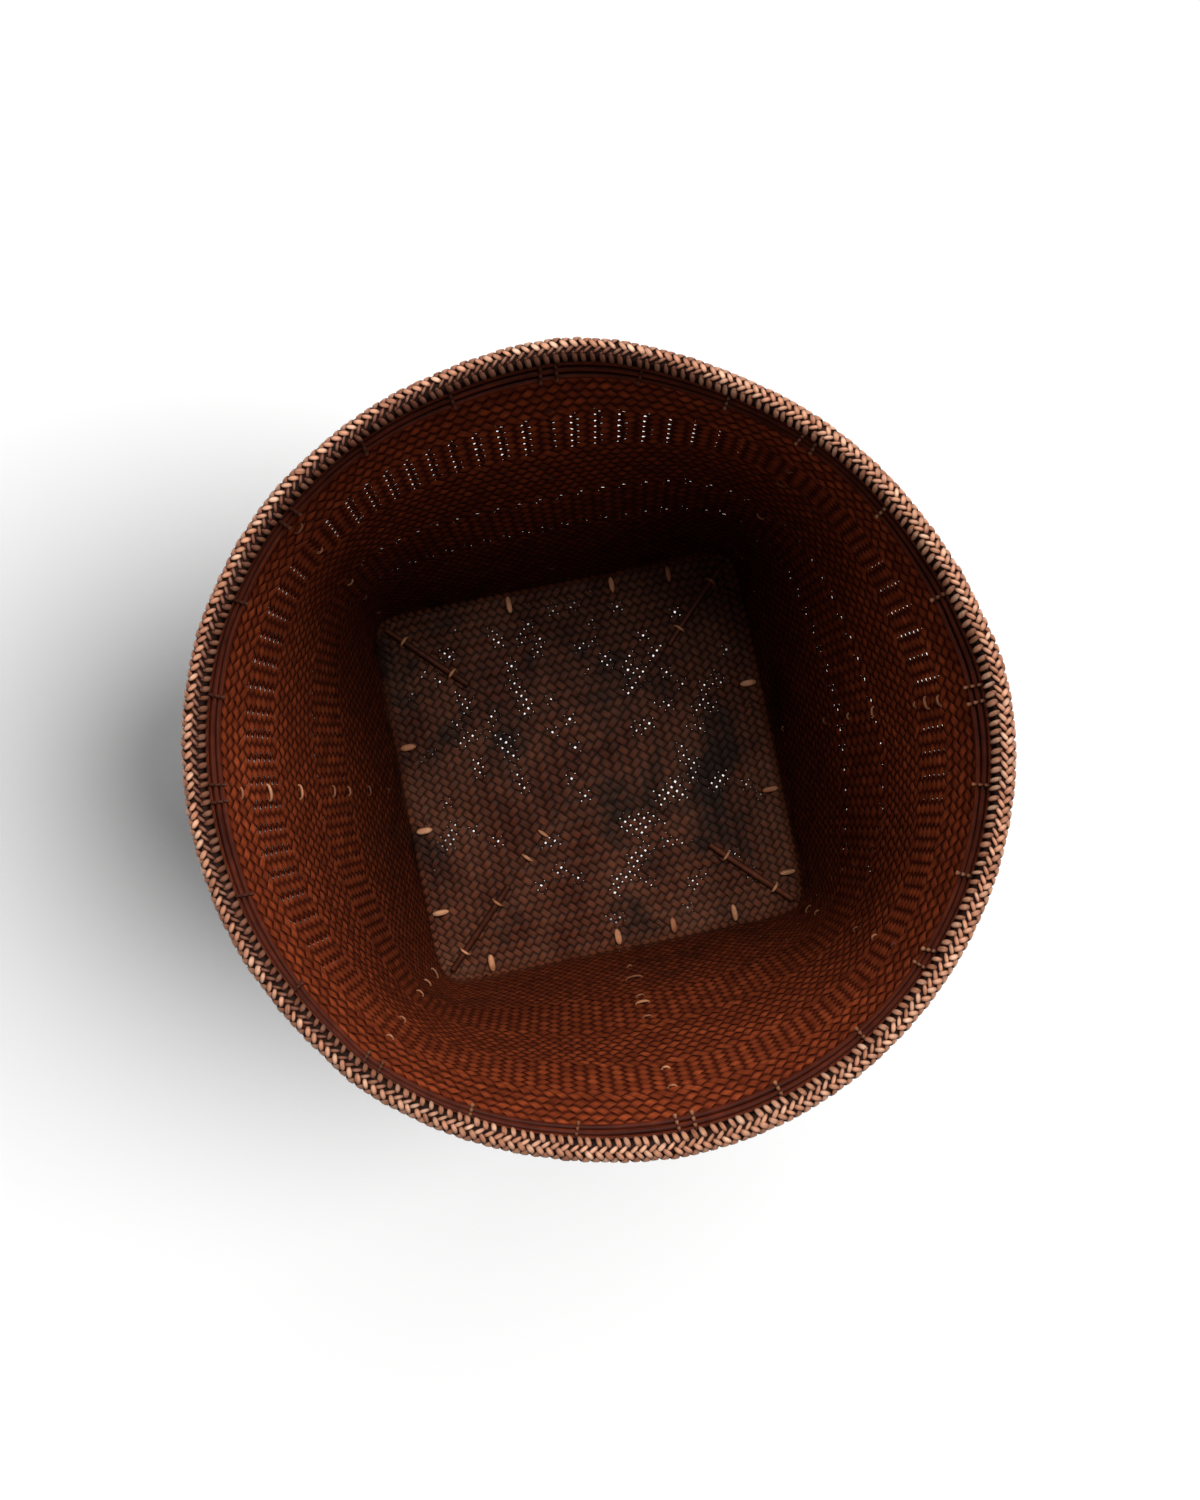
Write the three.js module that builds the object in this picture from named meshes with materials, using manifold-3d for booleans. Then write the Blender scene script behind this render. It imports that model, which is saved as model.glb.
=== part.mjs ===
// A deep basket of split bamboo: a square plaited base that widens to a round mouth.
// The plaited wall is held by a braided rim, tied hoops, laced ribs, foot bars and lashed corner sticks.
// Millimetres, +Z up. The origin is on the floor below the middle of the mouth. -Y is the front.
import * as THREE from 'three';
import { mergeVertices } from 'three/addons/utils/BufferGeometryUtils.js';
import Module from 'manifold-3d';

const wasm = await Module();
wasm.setup();

// Body
const rimRadius = 190;
const totalHeight = 300;
const baseHalfSide = 130;
const baseCornerRadius = 20;
const baseRounding = 6;
const wallThickness = 2;
const flare = 1.15; // 1 is a straight side, more flares out near the mouth
const rimDent = 7; // the mouth is pressed in a little at one corner
const rimDentAngle = THREE.MathUtils.degToRad(40.5);
const rimDentSpread = THREE.MathUtils.degToRad(32);

// Gap between pieces that touch
const seatGap = 0.3;

// Rim
const braidThickness = 1.4;
const braidHeight = 8;
const braidShoulder = 2.2;
const rimStripThickness = 1.6;

// Hoops below the braid
const hoopHeight = 4;
const hoopThickness = 2;
const hoopBevel = 0.9;
const hoopNames = ['inner_hoop_upper', 'inner_hoop_middle', 'inner_hoop_lower'];
const outerHoopThickness = 2.2;

// Cord of the lacings and ties
const cordThickness = 1.5;
const cordWidth = 2.2;
const joiningCordTrim = 0.2; // the cord that joins stitches is this much thinner on each side
const tieWidth = 1.8;
const tiePairSpare = 0.5; // from a rib's side to the ties beside it
const tiesBetweenRibs = 2;

// Ribs: the angles of foot and head, and the stitches as shares of the height between them
const ribWidth = 5.5;
const ribThickness = 3;
const ribBevel = 1;
const ribs = [
  { name: 'rib_right', foot: -1, head: -3.7, stitches: [0.1, 0.37, 0.5, 0.62, 0.76, 0.9] },
  { name: 'rib_back_right', foot: 43.5, head: 44.1, stitches: [0.1, 0.28, 0.45, 0.63, 0.81] },
  { name: 'rib_back', foot: 90, head: 86.4, stitches: [0.12, 0.37, 0.62, 0.88] },
  { name: 'rib_back_left', foot: 132.8, head: 132.3, stitches: [0.1, 0.28, 0.45, 0.75, 0.92] },
  { name: 'rib_left', foot: 176.5, head: 175.8, stitches: [0.14, 0.28, 0.41, 0.5, 0.67, 0.81, 0.92] },
  { name: 'rib_front_left', foot: 221.7, head: 223, stitches: [0.1, 0.2, 0.29, 0.5, 0.71, 0.87] },
  { name: 'rib_front', foot: 269, head: 271.3, stitches: [0.14, 0.26, 0.37, 0.51, 0.77, 0.87] },
  { name: 'rib_front_right', foot: 314.7, head: 315.3, stitches: [0.1, 0.2, 0.42, 0.65, 0.82] },
];

// Foot bars below the edge of the base, with their stitches as shares of the half side
const footBarWidth = 8;
const footBarHeight = 7;
const footBarInset = 6;
const footBars = [
  { name: 'front', turn: 0, long: true, stitches: [-0.71, -0.03, 0.27, 0.6] },
  { name: 'right', turn: 90, long: false, stitches: [-0.77, -0.32, 0.26] },
  { name: 'back', turn: 180, long: true, stitches: [-0.62, -0.31, 0.25] },
  { name: 'left', turn: 270, long: false, stitches: [-0.28, 0.17, 0.61] },
];
const longBarSetback = 6; // how far a long bar ends short of the next bar's outer face

// Runners on the diagonals below the base
const runnerWidth = 6;
const runnerHeight = 4;
const runnerStitches = [57, 77]; // distances from the middle, on the front left arm

// Sticks on the diagonals inside the base
const stickDiameter = 3.8;
const stickInnerEnd = 100;
const stickEndSpare = 1;
const stickLashings = [0.2, 0.78]; // shares of the stick's length
const stickNames = ['back_right', 'back_left', 'front_left', 'front_right'];

// How finely the round pieces are faceted
const ringSegments = 48;
const cornerCrowding = 0.085;
const wallLevels = 6;
const roundingSteps = 3;
const ribChecks = 6;

// Places that follow from the sizes above
const baseUnderside = footBarHeight + seatGap;
const baseTop = baseUnderside + wallThickness;
const wallFoot = baseUnderside + baseRounding;
const wallTop = totalHeight - braidThickness - seatGap;
const braidFoot = totalHeight - braidHeight;
const braidReach = braidThickness + rimStripThickness + 2 * seatGap; // from the wall to the braid's face
const skinTopRadius = rimRadius - braidReach;
const hoopsTop = braidFoot - seatGap;
const hoopPitch = hoopHeight + seatGap;
const hoopsFoot = hoopsTop - hoopNames.length * hoopPitch + seatGap;
const ribTop = hoopsFoot - 2 * seatGap;
const baseHalfDiagonal = baseHalfSide * Math.SQRT2 - baseCornerRadius * (Math.SQRT2 - 1);
const innerRounding = baseRounding - wallThickness;
const cordClearance = cordThickness + 2 * seatGap;

// Materials
const finish = (color, roughness) => new THREE.MeshStandardMaterial({ color, roughness, metalness: 0 });
const plaitFinish = finish(0x7a3a18, 0.5);
const braidFinish = finish(0xb87545, 0.5);
const hoopFinish = finish(0x5e2a1a, 0.4);
const frameFinish = finish(0x6b3a1e, 0.5);
const cordFinish = finish(0xc08050, 0.6);
const stickFinish = finish(0x7d3f26, 0.45);

const basket = new THREE.Group();

function addPiece(name, geometry, material) {
  const mesh = new THREE.Mesh(geometry, material);
  mesh.name = name;
  basket.add(mesh);
  return mesh;
}

// Outer skin of the wall

// The section is a superellipse: its side and its corner follow two profiles up the wall.
function formulaRadius(angle, height) {
  const share = THREE.MathUtils.clamp((height - wallFoot) / (wallTop - wallFoot), 0, 1);
  const side = baseHalfSide + (skinTopRadius - baseHalfSide) * share ** flare;
  const corner = baseHalfDiagonal + (skinTopRadius - baseHalfDiagonal) * share;
  const power = 1 / (0.5 - Math.log2(Math.max(corner / side, 1)));
  const reach = (Math.abs(Math.cos(angle)) ** power + Math.abs(Math.sin(angle)) ** power) ** (1 / power);
  const away = Math.atan2(Math.sin(angle - rimDentAngle), Math.cos(angle - rimDentAngle));
  return side / reach - rimDent * share ** 2 * Math.exp(-((away / rimDentSpread) ** 4));
}

// The angles crowd together at the corners.
const ringAngles = Array.from({ length: ringSegments }, (_, i) => {
  const even = (2 * Math.PI * i) / ringSegments;
  return even + cornerCrowding * Math.sin(4 * even);
});

// The wall's levels: even ones up to the hoops, then the foot of the braid and the wall's own edge.
const levelHeights = Array.from(
  { length: wallLevels + 1 },
  (_, i) => wallFoot + ((hoopsFoot - wallFoot) * i) / wallLevels,
).concat([braidFoot, wallTop]);

// Radius of the faceted skin itself, so that every piece is seated on its facets. Each facet between two
// levels and two angles is split along the diagonal that rises with the angle.
function skinRadius(angle, height) {
  const full = 2 * Math.PI;
  const turn = ((angle % full) + full) % full;
  let i = ringSegments - 1;
  while (ringAngles[i] > turn) i--;
  const left = ringAngles[i];
  const right = i + 1 < ringSegments ? ringAngles[i + 1] : full;
  const above = levelHeights.findIndex((level, k) => k > 0 && level >= height);
  const k = above < 0 ? levelHeights.length - 1 : above;
  const low = levelHeights[k - 1];
  const high = levelHeights[k];
  const corner = (a, h) => polar(a, formulaRadius(a, h), h);
  const start = corner(left, low);
  const end = corner(right, high);
  const level = THREE.MathUtils.clamp(height, low, high);
  const onDiagonal = start.clone().lerp(end, (level - low) / (high - low));
  const beyond = polar(turn, 1, 0).cross(onDiagonal).z < 0;
  const third = beyond ? corner(right, low) : corner(left, high);
  const normal = end.clone().sub(start).cross(third.sub(start));
  return normal.dot(start.sub(new THREE.Vector3(0, 0, level))) / normal.dot(polar(turn, 1, 0));
}

const polar = (angle, radius, height) =>
  new THREE.Vector3(radius * Math.cos(angle), radius * Math.sin(angle), height);

// Geometry helpers

// Joins rows of points, each row a loop, into one closed body. Facing walls are split along the same
// diagonal, rising one way round the basket, so that twisted facets stay parallel.
function loftRows(rows, joinEnds) {
  const width = rows[0].length;
  const points = rows.flat();
  const triangles = [];
  const last = joinEnds ? rows.length : rows.length - 1;
  for (let r = 0; r < last; r++) {
    const here = r * width;
    const next = ((r + 1) % rows.length) * width;
    for (let k = 0; k < width; k++) {
      const k2 = (k + 1) % width;
      if (points[next + k2].z >= points[here + k].z) {
        triangles.push([here + k, here + k2, next + k2], [here + k, next + k2, next + k]);
      } else {
        triangles.push([here + k, here + k2, next + k], [here + k2, next + k2, next + k]);
      }
    }
  }
  if (!joinEnds) {
    for (const [start, forward] of [[0, false], [(rows.length - 1) * width, true]]) {
      const middle = new THREE.Vector3();
      for (let k = 0; k < width; k++) middle.addScaledVector(points[start + k], 1 / width);
      const centre = points.push(middle) - 1;
      for (let k = 0; k < width; k++) {
        const edge = [start + k, start + ((k + 1) % width)];
        triangles.push(forward ? [edge[0], edge[1], centre] : [edge[1], edge[0], centre]);
      }
    }
  }
  return facingOut(points, triangles);
}

// Turns the triangles round if the body they enclose comes out negative.
function facingOut(points, triangles) {
  let volume = 0;
  for (const [a, b, c] of triangles) {
    volume += points[a].dot(new THREE.Vector3().crossVectors(points[b], points[c]));
  }
  const index = triangles.flatMap(([a, b, c]) => (volume < 0 ? [a, c, b] : [a, b, c]));
  const geometry = new THREE.BufferGeometry();
  geometry.setAttribute('position', new THREE.Float32BufferAttribute(points.flatMap((p) => p.toArray()), 3));
  geometry.setIndex(index);
  geometry.computeVertexNormals();
  return geometry;
}

// A ring round the wall. Each point of its section is [distance out from the skin, height].
function wallRing(section) {
  const rows = ringAngles.map((angle) =>
    section.map(([out, height]) => polar(angle, skinRadius(angle, height) + out, height)),
  );
  return loftRows(rows, true);
}

// An outline in a plane through origin, spread along the third axis on both sides of that plane.
function plate(outline, holes, width, origin, xAxis, yAxis) {
  const shape = new THREE.Shape(outline.map(([x, y]) => new THREE.Vector2(x, y)));
  shape.holes = holes.map((hole) => new THREE.Path(hole.map(([x, y]) => new THREE.Vector2(x, y))));
  const geometry = new THREE.ExtrudeGeometry(shape, { depth: width, bevelEnabled: false, steps: 1 });
  geometry.translate(0, 0, -width / 2);
  const zAxis = new THREE.Vector3().crossVectors(xAxis, yAxis);
  const place = new THREE.Matrix4().makeBasis(xAxis, yAxis, zAxis).setPosition(origin);
  return geometry.applyMatrix4(place);
}

const rectangle = (x0, y0, x1, y1) => [[x0, y0], [x1, y0], [x1, y1], [x0, y1]];

function toSolid(geometry) {
  const bare = geometry.clone();
  bare.deleteAttribute('normal');
  bare.deleteAttribute('uv');
  const merged = mergeVertices(bare, 1e-4);
  return new wasm.Manifold(
    new wasm.Mesh({
      numProp: 3,
      vertProperties: new Float32Array(merged.attributes.position.array),
      triVerts: new Uint32Array(merged.index.array),
    }),
  );
}

function fromSolid(solid) {
  const mesh = solid.getMesh();
  const geometry = new THREE.BufferGeometry();
  geometry.setAttribute('position', new THREE.BufferAttribute(mesh.vertProperties, 3));
  geometry.setIndex(new THREE.BufferAttribute(mesh.triVerts, 1));
  geometry.computeVertexNormals();
  return geometry;
}

const joined = (geometries) => geometries.map(toSolid).reduce((whole, piece) => whole.add(piece));

// Every hole that a cord needs is collected here and cut from the wall at the end.
const cordHoles = [];

// A place on the wall: side runs round the basket, up runs up the wall, out points away from it.
function wallPlace(angle, height) {
  const step = 0.01;
  const rise = 2;
  const origin = polar(angle, skinRadius(angle, height), height);
  const before = polar(angle - step, skinRadius(angle - step, height), height);
  const after = polar(angle + step, skinRadius(angle + step, height), height);
  const above = polar(angle, skinRadius(angle, height + rise), height + rise);
  const side = after.sub(before).normalize();
  const out = new THREE.Vector3().crossVectors(side, above.sub(origin)).normalize();
  const up = new THREE.Vector3().crossVectors(out, side);
  return { angle, height, origin, side, out, up };
}

// How far the skin stands out of a place's own plane within half a width and a stitch's height.
function skinReach(place, halfWidth, inset) {
  const samples = 8;
  const radius = skinRadius(place.angle, place.height);
  const reaches = [];
  for (const rise of [-cordWidth / 2, 0, cordWidth / 2]) {
    const height = place.height + rise;
    const level = place.origin.clone().addScaledVector(place.up, rise / place.up.z);
    for (let i = -samples; i <= samples; i++) {
      const angle = place.angle + (i / samples) * (halfWidth / radius);
      const point = polar(angle, skinRadius(angle, height) - inset, height);
      reaches.push(point.sub(level).dot(place.out));
    }
  }
  return { lowest: Math.min(...reaches), highest: Math.max(...reaches) };
}

const from = (place, side, out) =>
  place.origin.clone().addScaledVector(place.side, side).addScaledVector(place.out, out);

// The woven body: base and wall in one shell, holed where the cords pass

function bodyProfile(inset, floor, rounding) {
  const levels = [];
  for (let i = 0; i < roundingSteps; i++) {
    const turn = (i / roundingSteps) * (Math.PI / 2);
    const height = floor + rounding * (1 - Math.cos(turn));
    levels.push({ height, out: -inset - rounding * (1 - Math.sin(turn)) });
  }
  for (const height of levelHeights) levels.push({ height, out: -inset });
  return levels;
}

function wovenBody() {
  const outside = bodyProfile(0, baseUnderside, baseRounding);
  const inside = bodyProfile(wallThickness, baseTop, innerRounding);
  const rows = [...outside, ...inside.reverse()].map(({ height, out }) =>
    ringAngles.map((angle) => polar(angle, skinRadius(angle, height) + out, height)),
  );
  const holes = wasm.Manifold.compose(cordHoles.map(toSolid));
  return fromSolid(toSolid(loftRows(rows, false)).subtract(holes));
}

// Rim

function rimBraid() {
  const outer = seatGap + rimStripThickness + seatGap;
  const inner = -wallThickness - outer;
  const cavityTop = wallTop + seatGap;
  const shoulder = totalHeight - braidShoulder;
  return wallRing([
    [outer + braidThickness, braidFoot],
    [outer + braidThickness, shoulder],
    [outer + braidThickness - braidShoulder, totalHeight],
    [inner - braidThickness + braidShoulder, totalHeight],
    [inner - braidThickness, shoulder],
    [inner - braidThickness, braidFoot],
    [inner, braidFoot],
    [inner, cavityTop],
    [outer, cavityTop],
    [outer, braidFoot],
  ]);
}

function rimStrip(nearFace, direction) {
  const far = nearFace + direction * rimStripThickness;
  return wallRing([
    [nearFace, braidFoot],
    [far, braidFoot],
    [far, wallTop],
    [nearFace, wallTop],
  ]);
}

function innerHoop(order) {
  const top = hoopsTop - order * hoopPitch;
  const foot = top - hoopHeight;
  const back = -wallThickness - seatGap;
  const front = back - hoopThickness;
  return wallRing([
    [back, foot],
    [front, foot + hoopBevel],
    [front, top - hoopBevel],
    [back, top],
  ]);
}

function outerHoop() {
  const back = seatGap;
  const front = back + outerHoopThickness;
  return wallRing([
    [back, hoopsFoot],
    [front, hoopsFoot],
    [front, hoopsTop],
    [back, hoopsTop],
  ]);
}

// Ties: a hook of cord that goes through the wall below the hoops and up both sides of it

function tieHook(angle) {
  const inFace = -wallThickness - seatGap - hoopThickness - seatGap;
  const outFace = seatGap + outerHoopThickness + seatGap;
  const hookTop = hoopsFoot - seatGap;
  const hookFoot = hookTop - cordThickness;
  const top = hoopsTop - seatGap;
  const skin = (height) => skinRadius(angle, height);
  const outline = [
    [skin(top) + inFace - cordThickness, top],
    [skin(hookFoot) + inFace - cordThickness, hookFoot],
    [skin(hookFoot) + outFace + cordThickness, hookFoot],
    [skin(top) + outFace + cordThickness, top],
    [skin(top) + outFace, top],
    [skin(hookTop) + outFace, hookTop],
    [skin(hookTop) + inFace, hookTop],
    [skin(top) + inFace, top],
  ];
  const radial = polar(angle, 1, 0);
  const upright = new THREE.Vector3(0, 0, 1);
  const centre = new THREE.Vector3();
  const hole = rectangle(
    skin(hookTop) - wallThickness - cordThickness,
    hookFoot - seatGap,
    skin(hookTop) + cordThickness,
    hookTop + seatGap,
  );
  cordHoles.push(plate(hole, [], tieWidth + 2 * seatGap, centre, radial, upright));
  return plate(outline, [], tieWidth, centre, radial, upright);
}

function hoopTies() {
  const heads = ribs.map((rib) => THREE.MathUtils.degToRad(rib.head));
  const angles = [];
  heads.forEach((head, i) => {
    const next = i + 1 < heads.length ? heads[i + 1] : heads[0] + 2 * Math.PI;
    const beside = (ribWidth / 2 + tiePairSpare + tieWidth / 2) / skinRadius(head, hoopsFoot);
    angles.push(head - beside, head + beside);
    for (let k = 1; k <= tiesBetweenRibs; k++) {
      angles.push(head + ((next - head) * k) / (tiesBetweenRibs + 1));
    }
  });
  const innerFace = seatGap + outerHoopThickness + seatGap + joiningCordTrim;
  const outerFace = innerFace + cordThickness - 2 * joiningCordTrim;
  const middle = (hoopsTop + hoopsFoot) / 2;
  const runningCord = wallRing([
    [innerFace, middle - cordWidth / 2],
    [outerFace, middle - cordWidth / 2],
    [outerFace, middle + cordWidth / 2],
    [innerFace, middle + cordWidth / 2],
  ]);
  return fromSolid(joined([runningCord, ...angles.map(tieHook)]));
}

// Ribs and their lacings

function ribPlace(rib, share) {
  const height = wallFoot + (ribTop - wallFoot) * share;
  const angle = THREE.MathUtils.degToRad(rib.foot + (rib.head - rib.foot) * share);
  const place = wallPlace(angle, height);
  place.share = share;
  place.seat = skinReach(place, ribWidth / 2, 0).highest + seatGap;
  return place;
}

// The rib is straight between its places, so a facet that stands out between two of them lifts both.
function ribPlaces(rib) {
  const places = [0, ...rib.stitches, 1].map((share) => ribPlace(rib, share));
  for (let i = 1; i < places.length; i++) {
    const [low, high] = [places[i - 1], places[i]];
    for (let part = 1; part < ribChecks; part++) {
      const blend = part / ribChecks;
      const between = ribPlace(rib, THREE.MathUtils.lerp(low.share, high.share, blend));
      between.origin.lerpVectors(low.origin, high.origin, blend);
      between.out.lerpVectors(low.out, high.out, blend).normalize();
      const needed = skinReach(between, ribWidth / 2, 0).highest + seatGap;
      const lack = Math.max(needed - THREE.MathUtils.lerp(low.seat, high.seat, blend), 0);
      low.seat += lack;
      high.seat += lack;
    }
  }
  return places;
}

function ribBar(places) {
  const half = ribWidth / 2;
  const rows = places.map((place) => {
    const top = place.seat + ribThickness;
    return [
      from(place, -half, place.seat),
      from(place, half, place.seat),
      from(place, half - ribBevel, top),
      from(place, ribBevel - half, top),
    ];
  });
  return loftRows(rows, false);
}

// One stitch goes over the rib, through the wall on both sides of it and across the inside.
function ribStitch(place) {
  const holeHalf = ribWidth / 2 + seatGap;
  const half = holeHalf + cordThickness;
  const over = place.seat + ribThickness + seatGap;
  const across = skinReach(place, half + seatGap, wallThickness).lowest - seatGap;
  const outline = rectangle(-half, across - cordThickness, half, over + cordThickness);
  const hole = rectangle(-holeHalf, across, holeHalf, over).reverse();
  for (const direction of [-1, 1]) {
    const near = direction * (holeHalf - seatGap);
    const far = direction * (half + seatGap);
    const passage = rectangle(
      Math.min(near, far),
      across - cordThickness,
      Math.max(near, far),
      place.seat + cordThickness,
    );
    cordHoles.push(plate(passage, [], cordWidth + 2 * seatGap, place.origin, place.side, place.out));
  }
  return plate(outline, [hole], cordWidth, place.origin, place.side, place.out);
}

function ribLacing(places) {
  const stitched = places.slice(1, -1);
  const half = cordWidth / 2 - joiningCordTrim;
  const rows = stitched.map((place) => {
    const inner = place.seat + ribThickness + seatGap + joiningCordTrim;
    const outer = inner + cordThickness - 2 * joiningCordTrim;
    return [
      from(place, -half, inner),
      from(place, half, inner),
      from(place, half, outer),
      from(place, -half, outer),
    ];
  });
  return fromSolid(joined([loftRows(rows, false), ...stitched.map(ribStitch)]));
}

// Foot bars: drawn for the front and turned to each side

const footOuterFace = baseHalfSide - footBarInset;
const footMiddle = footOuterFace - footBarWidth / 2;

function sideAxes(turn) {
  const angle = THREE.MathUtils.degToRad(turn);
  const along = new THREE.Vector3(Math.cos(angle), Math.sin(angle), 0);
  const outward = new THREE.Vector3(Math.sin(angle), -Math.cos(angle), 0);
  return { along, outward };
}

function footBar({ turn, long, stitches }) {
  const { along, outward } = sideAxes(turn);
  const innerFace = footOuterFace - footBarWidth;
  const half = long ? footOuterFace - longBarSetback : innerFace - seatGap;
  const notchHalf = cordWidth / 2 + seatGap;
  const outline = [[-half, footBarHeight], [-half, 0]];
  for (const share of stitches) {
    const middle = share * baseHalfSide;
    outline.push([middle - notchHalf, 0], [middle - notchHalf, cordClearance]);
    outline.push([middle + notchHalf, cordClearance], [middle + notchHalf, 0]);
  }
  outline.push([half, 0], [half, footBarHeight]);
  const origin = outward.clone().multiplyScalar(footMiddle);
  return plate(outline, [], footBarWidth, origin, along, new THREE.Vector3(0, 0, 1));
}

// A loop of cord round a bar below the base, in the plane across the bar.
function baseLoop(middle, across, barHalf, barFoot, overTop) {
  const holeHalf = barHalf + seatGap;
  const half = holeHalf + cordThickness;
  const foot = barFoot - seatGap;
  const outline = overTop(half, cordThickness).concat([[-half, foot - cordThickness], [half, foot - cordThickness]]);
  const hole = overTop(holeHalf, 0).concat([[-holeHalf, foot], [holeHalf, foot]]).reverse();
  const upright = new THREE.Vector3(0, 0, 1);
  for (const direction of [-1, 1]) {
    const near = direction * (holeHalf - seatGap);
    const far = direction * (half + seatGap);
    const passage = rectangle(
      Math.min(near, far),
      baseUnderside - wallThickness,
      Math.max(near, far),
      baseTop + wallThickness,
    );
    cordHoles.push(plate(passage, [], cordWidth + 2 * seatGap, middle, across, upright));
  }
  return plate(outline, [hole], cordWidth, middle, across, upright);
}

// The cord that joins the loops of one bar runs beside the bar, below the base.
function joiningCord(start, end, across, offset) {
  const run = end.clone().sub(start);
  const half = run.length() / 2 + cordWidth / 2 - joiningCordTrim;
  const middle = start.clone().add(end).multiplyScalar(0.5);
  const top = baseUnderside - seatGap;
  const near = offset + joiningCordTrim;
  const far = offset + cordThickness - joiningCordTrim;
  const outline = rectangle(near, top - cordThickness, far, top);
  return plate(outline, [], 2 * half, middle, across, new THREE.Vector3(0, 0, 1));
}

const flatTop = (half, thickness) => [
  [half, baseTop + seatGap + thickness],
  [-half, baseTop + seatGap + thickness],
];

function footLacing({ turn, stitches }) {
  const { along, outward } = sideAxes(turn);
  const places = stitches.map((share) =>
    outward.clone().multiplyScalar(footMiddle).addScaledVector(along, share * baseHalfSide),
  );
  const barHalf = footBarWidth / 2;
  const barFoot = cordClearance;
  const loops = places.map((place) => baseLoop(place, outward, barHalf, barFoot, flatTop));
  const offset = -barHalf - seatGap - cordThickness;
  loops.push(joiningCord(places[0], places[places.length - 1], outward, offset));
  return fromSolid(joined(loops));
}

// Runners: half-lapped where they cross

const diagonal = (order) => {
  const angle = Math.PI / 4 + (order * Math.PI) / 2;
  const along = new THREE.Vector3(Math.cos(angle), Math.sin(angle), 0);
  const across = new THREE.Vector3(-Math.sin(angle), Math.cos(angle), 0);
  return { along, across };
};

const runnerTop = baseUnderside - seatGap;
const runnerFoot = runnerTop - runnerHeight;

function runner(order, notchedBelow) {
  const { along } = diagonal(order);
  const innerCorner = (footOuterFace - footBarWidth) * Math.SQRT2;
  const half = innerCorner - runnerWidth / 2 - 2 * seatGap;
  const lapHalf = runnerWidth / 2 + seatGap;
  const lapHeight = (runnerTop + runnerFoot) / 2 + (notchedBelow ? seatGap : -seatGap) / 2;
  const notchEdge = notchedBelow ? runnerFoot : runnerTop;
  const plainEdge = notchedBelow ? runnerTop : runnerFoot;
  const outline = [
    [-half, notchEdge],
    [-lapHalf, notchEdge],
    [-lapHalf, lapHeight],
    [lapHalf, lapHeight],
    [lapHalf, notchEdge],
    [half, notchEdge],
    [half, plainEdge],
    [-half, plainEdge],
  ];
  return plate(outline, [], runnerWidth, new THREE.Vector3(), along, new THREE.Vector3(0, 0, 1));
}

// Corner sticks and the lashings that tie them to the runners

const stickOuterEnd = baseHalfDiagonal - baseRounding - stickEndSpare;
const stickMiddle = baseTop + seatGap + stickDiameter / 2;

function cornerStick(order) {
  const { along } = diagonal(order);
  const length = stickOuterEnd - stickInnerEnd;
  const geometry = new THREE.CylinderGeometry(stickDiameter / 2, stickDiameter / 2, length, 8, 1);
  geometry.rotateZ(-Math.PI / 2);
  geometry.rotateX(Math.PI / 8);
  geometry.rotateZ(Math.atan2(along.y, along.x));
  const middle = along.clone().multiplyScalar(stickInnerEnd + length / 2);
  geometry.translate(middle.x, middle.y, stickMiddle);
  return geometry;
}

// The lashing narrows from the runner's width to the stick's above the base.
const stickTop = (half, thickness) => {
  const crown = stickDiameter / 2 + seatGap;
  return [
    [half, baseTop],
    [crown / 2 + thickness, stickMiddle + crown + thickness],
    [-crown / 2 - thickness, stickMiddle + crown + thickness],
    [-half, baseTop],
  ];
};

function diagonalLoops(order, distances, overTop) {
  const { along, across } = diagonal(order);
  const places = distances.map((distance) => along.clone().multiplyScalar(distance));
  const barHalf = runnerWidth / 2;
  const loops = places.map((place) => baseLoop(place, across, barHalf, runnerFoot, overTop));
  const offset = -barHalf - seatGap - cordThickness;
  loops.push(joiningCord(places[0], places[places.length - 1], across, offset));
  return fromSolid(joined(loops));
}

// Assembly

addPiece('rim_strip_outer', rimStrip(seatGap, 1), frameFinish);
addPiece('rim_strip_inner', rimStrip(-wallThickness - seatGap, -1), frameFinish);
addPiece('rim_braid', rimBraid(), braidFinish);
hoopNames.forEach((name, order) => addPiece(name, innerHoop(order), hoopFinish));
addPiece('outer_hoop', outerHoop(), hoopFinish);
addPiece('hoop_ties', hoopTies(), cordFinish);

for (const rib of ribs) {
  const places = ribPlaces(rib);
  addPiece(rib.name, ribBar(places), frameFinish);
  addPiece(rib.name.replace('rib', 'lacing'), ribLacing(places), cordFinish);
}

for (const bar of footBars) {
  addPiece(`foot_bar_${bar.name}`, footBar(bar), frameFinish);
  addPiece(`foot_lacing_${bar.name}`, footLacing(bar), cordFinish);
}

addPiece('runner_front_left_to_back_right', runner(0, true), frameFinish);
addPiece('runner_front_right_to_back_left', runner(1, false), frameFinish);
addPiece('runner_lacing', diagonalLoops(2, runnerStitches, flatTop), cordFinish);

stickNames.forEach((name, order) => {
  const length = stickOuterEnd - stickInnerEnd;
  const distances = stickLashings.map((share) => stickInnerEnd + share * length);
  addPiece(`corner_stick_${name}`, cornerStick(order), stickFinish);
  addPiece(`stick_lashing_${name}`, diagonalLoops(order, distances, stickTop), cordFinish);
});

addPiece('woven_body', wovenBody(), plaitFinish);

export default basket;
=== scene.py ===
"""Looks of the plaited bamboo basket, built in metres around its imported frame."""

from math import ceil, cos, exp, hypot, pi, radians, sin

import bpy
import numpy as np
from mathutils import Matrix, Vector


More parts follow.
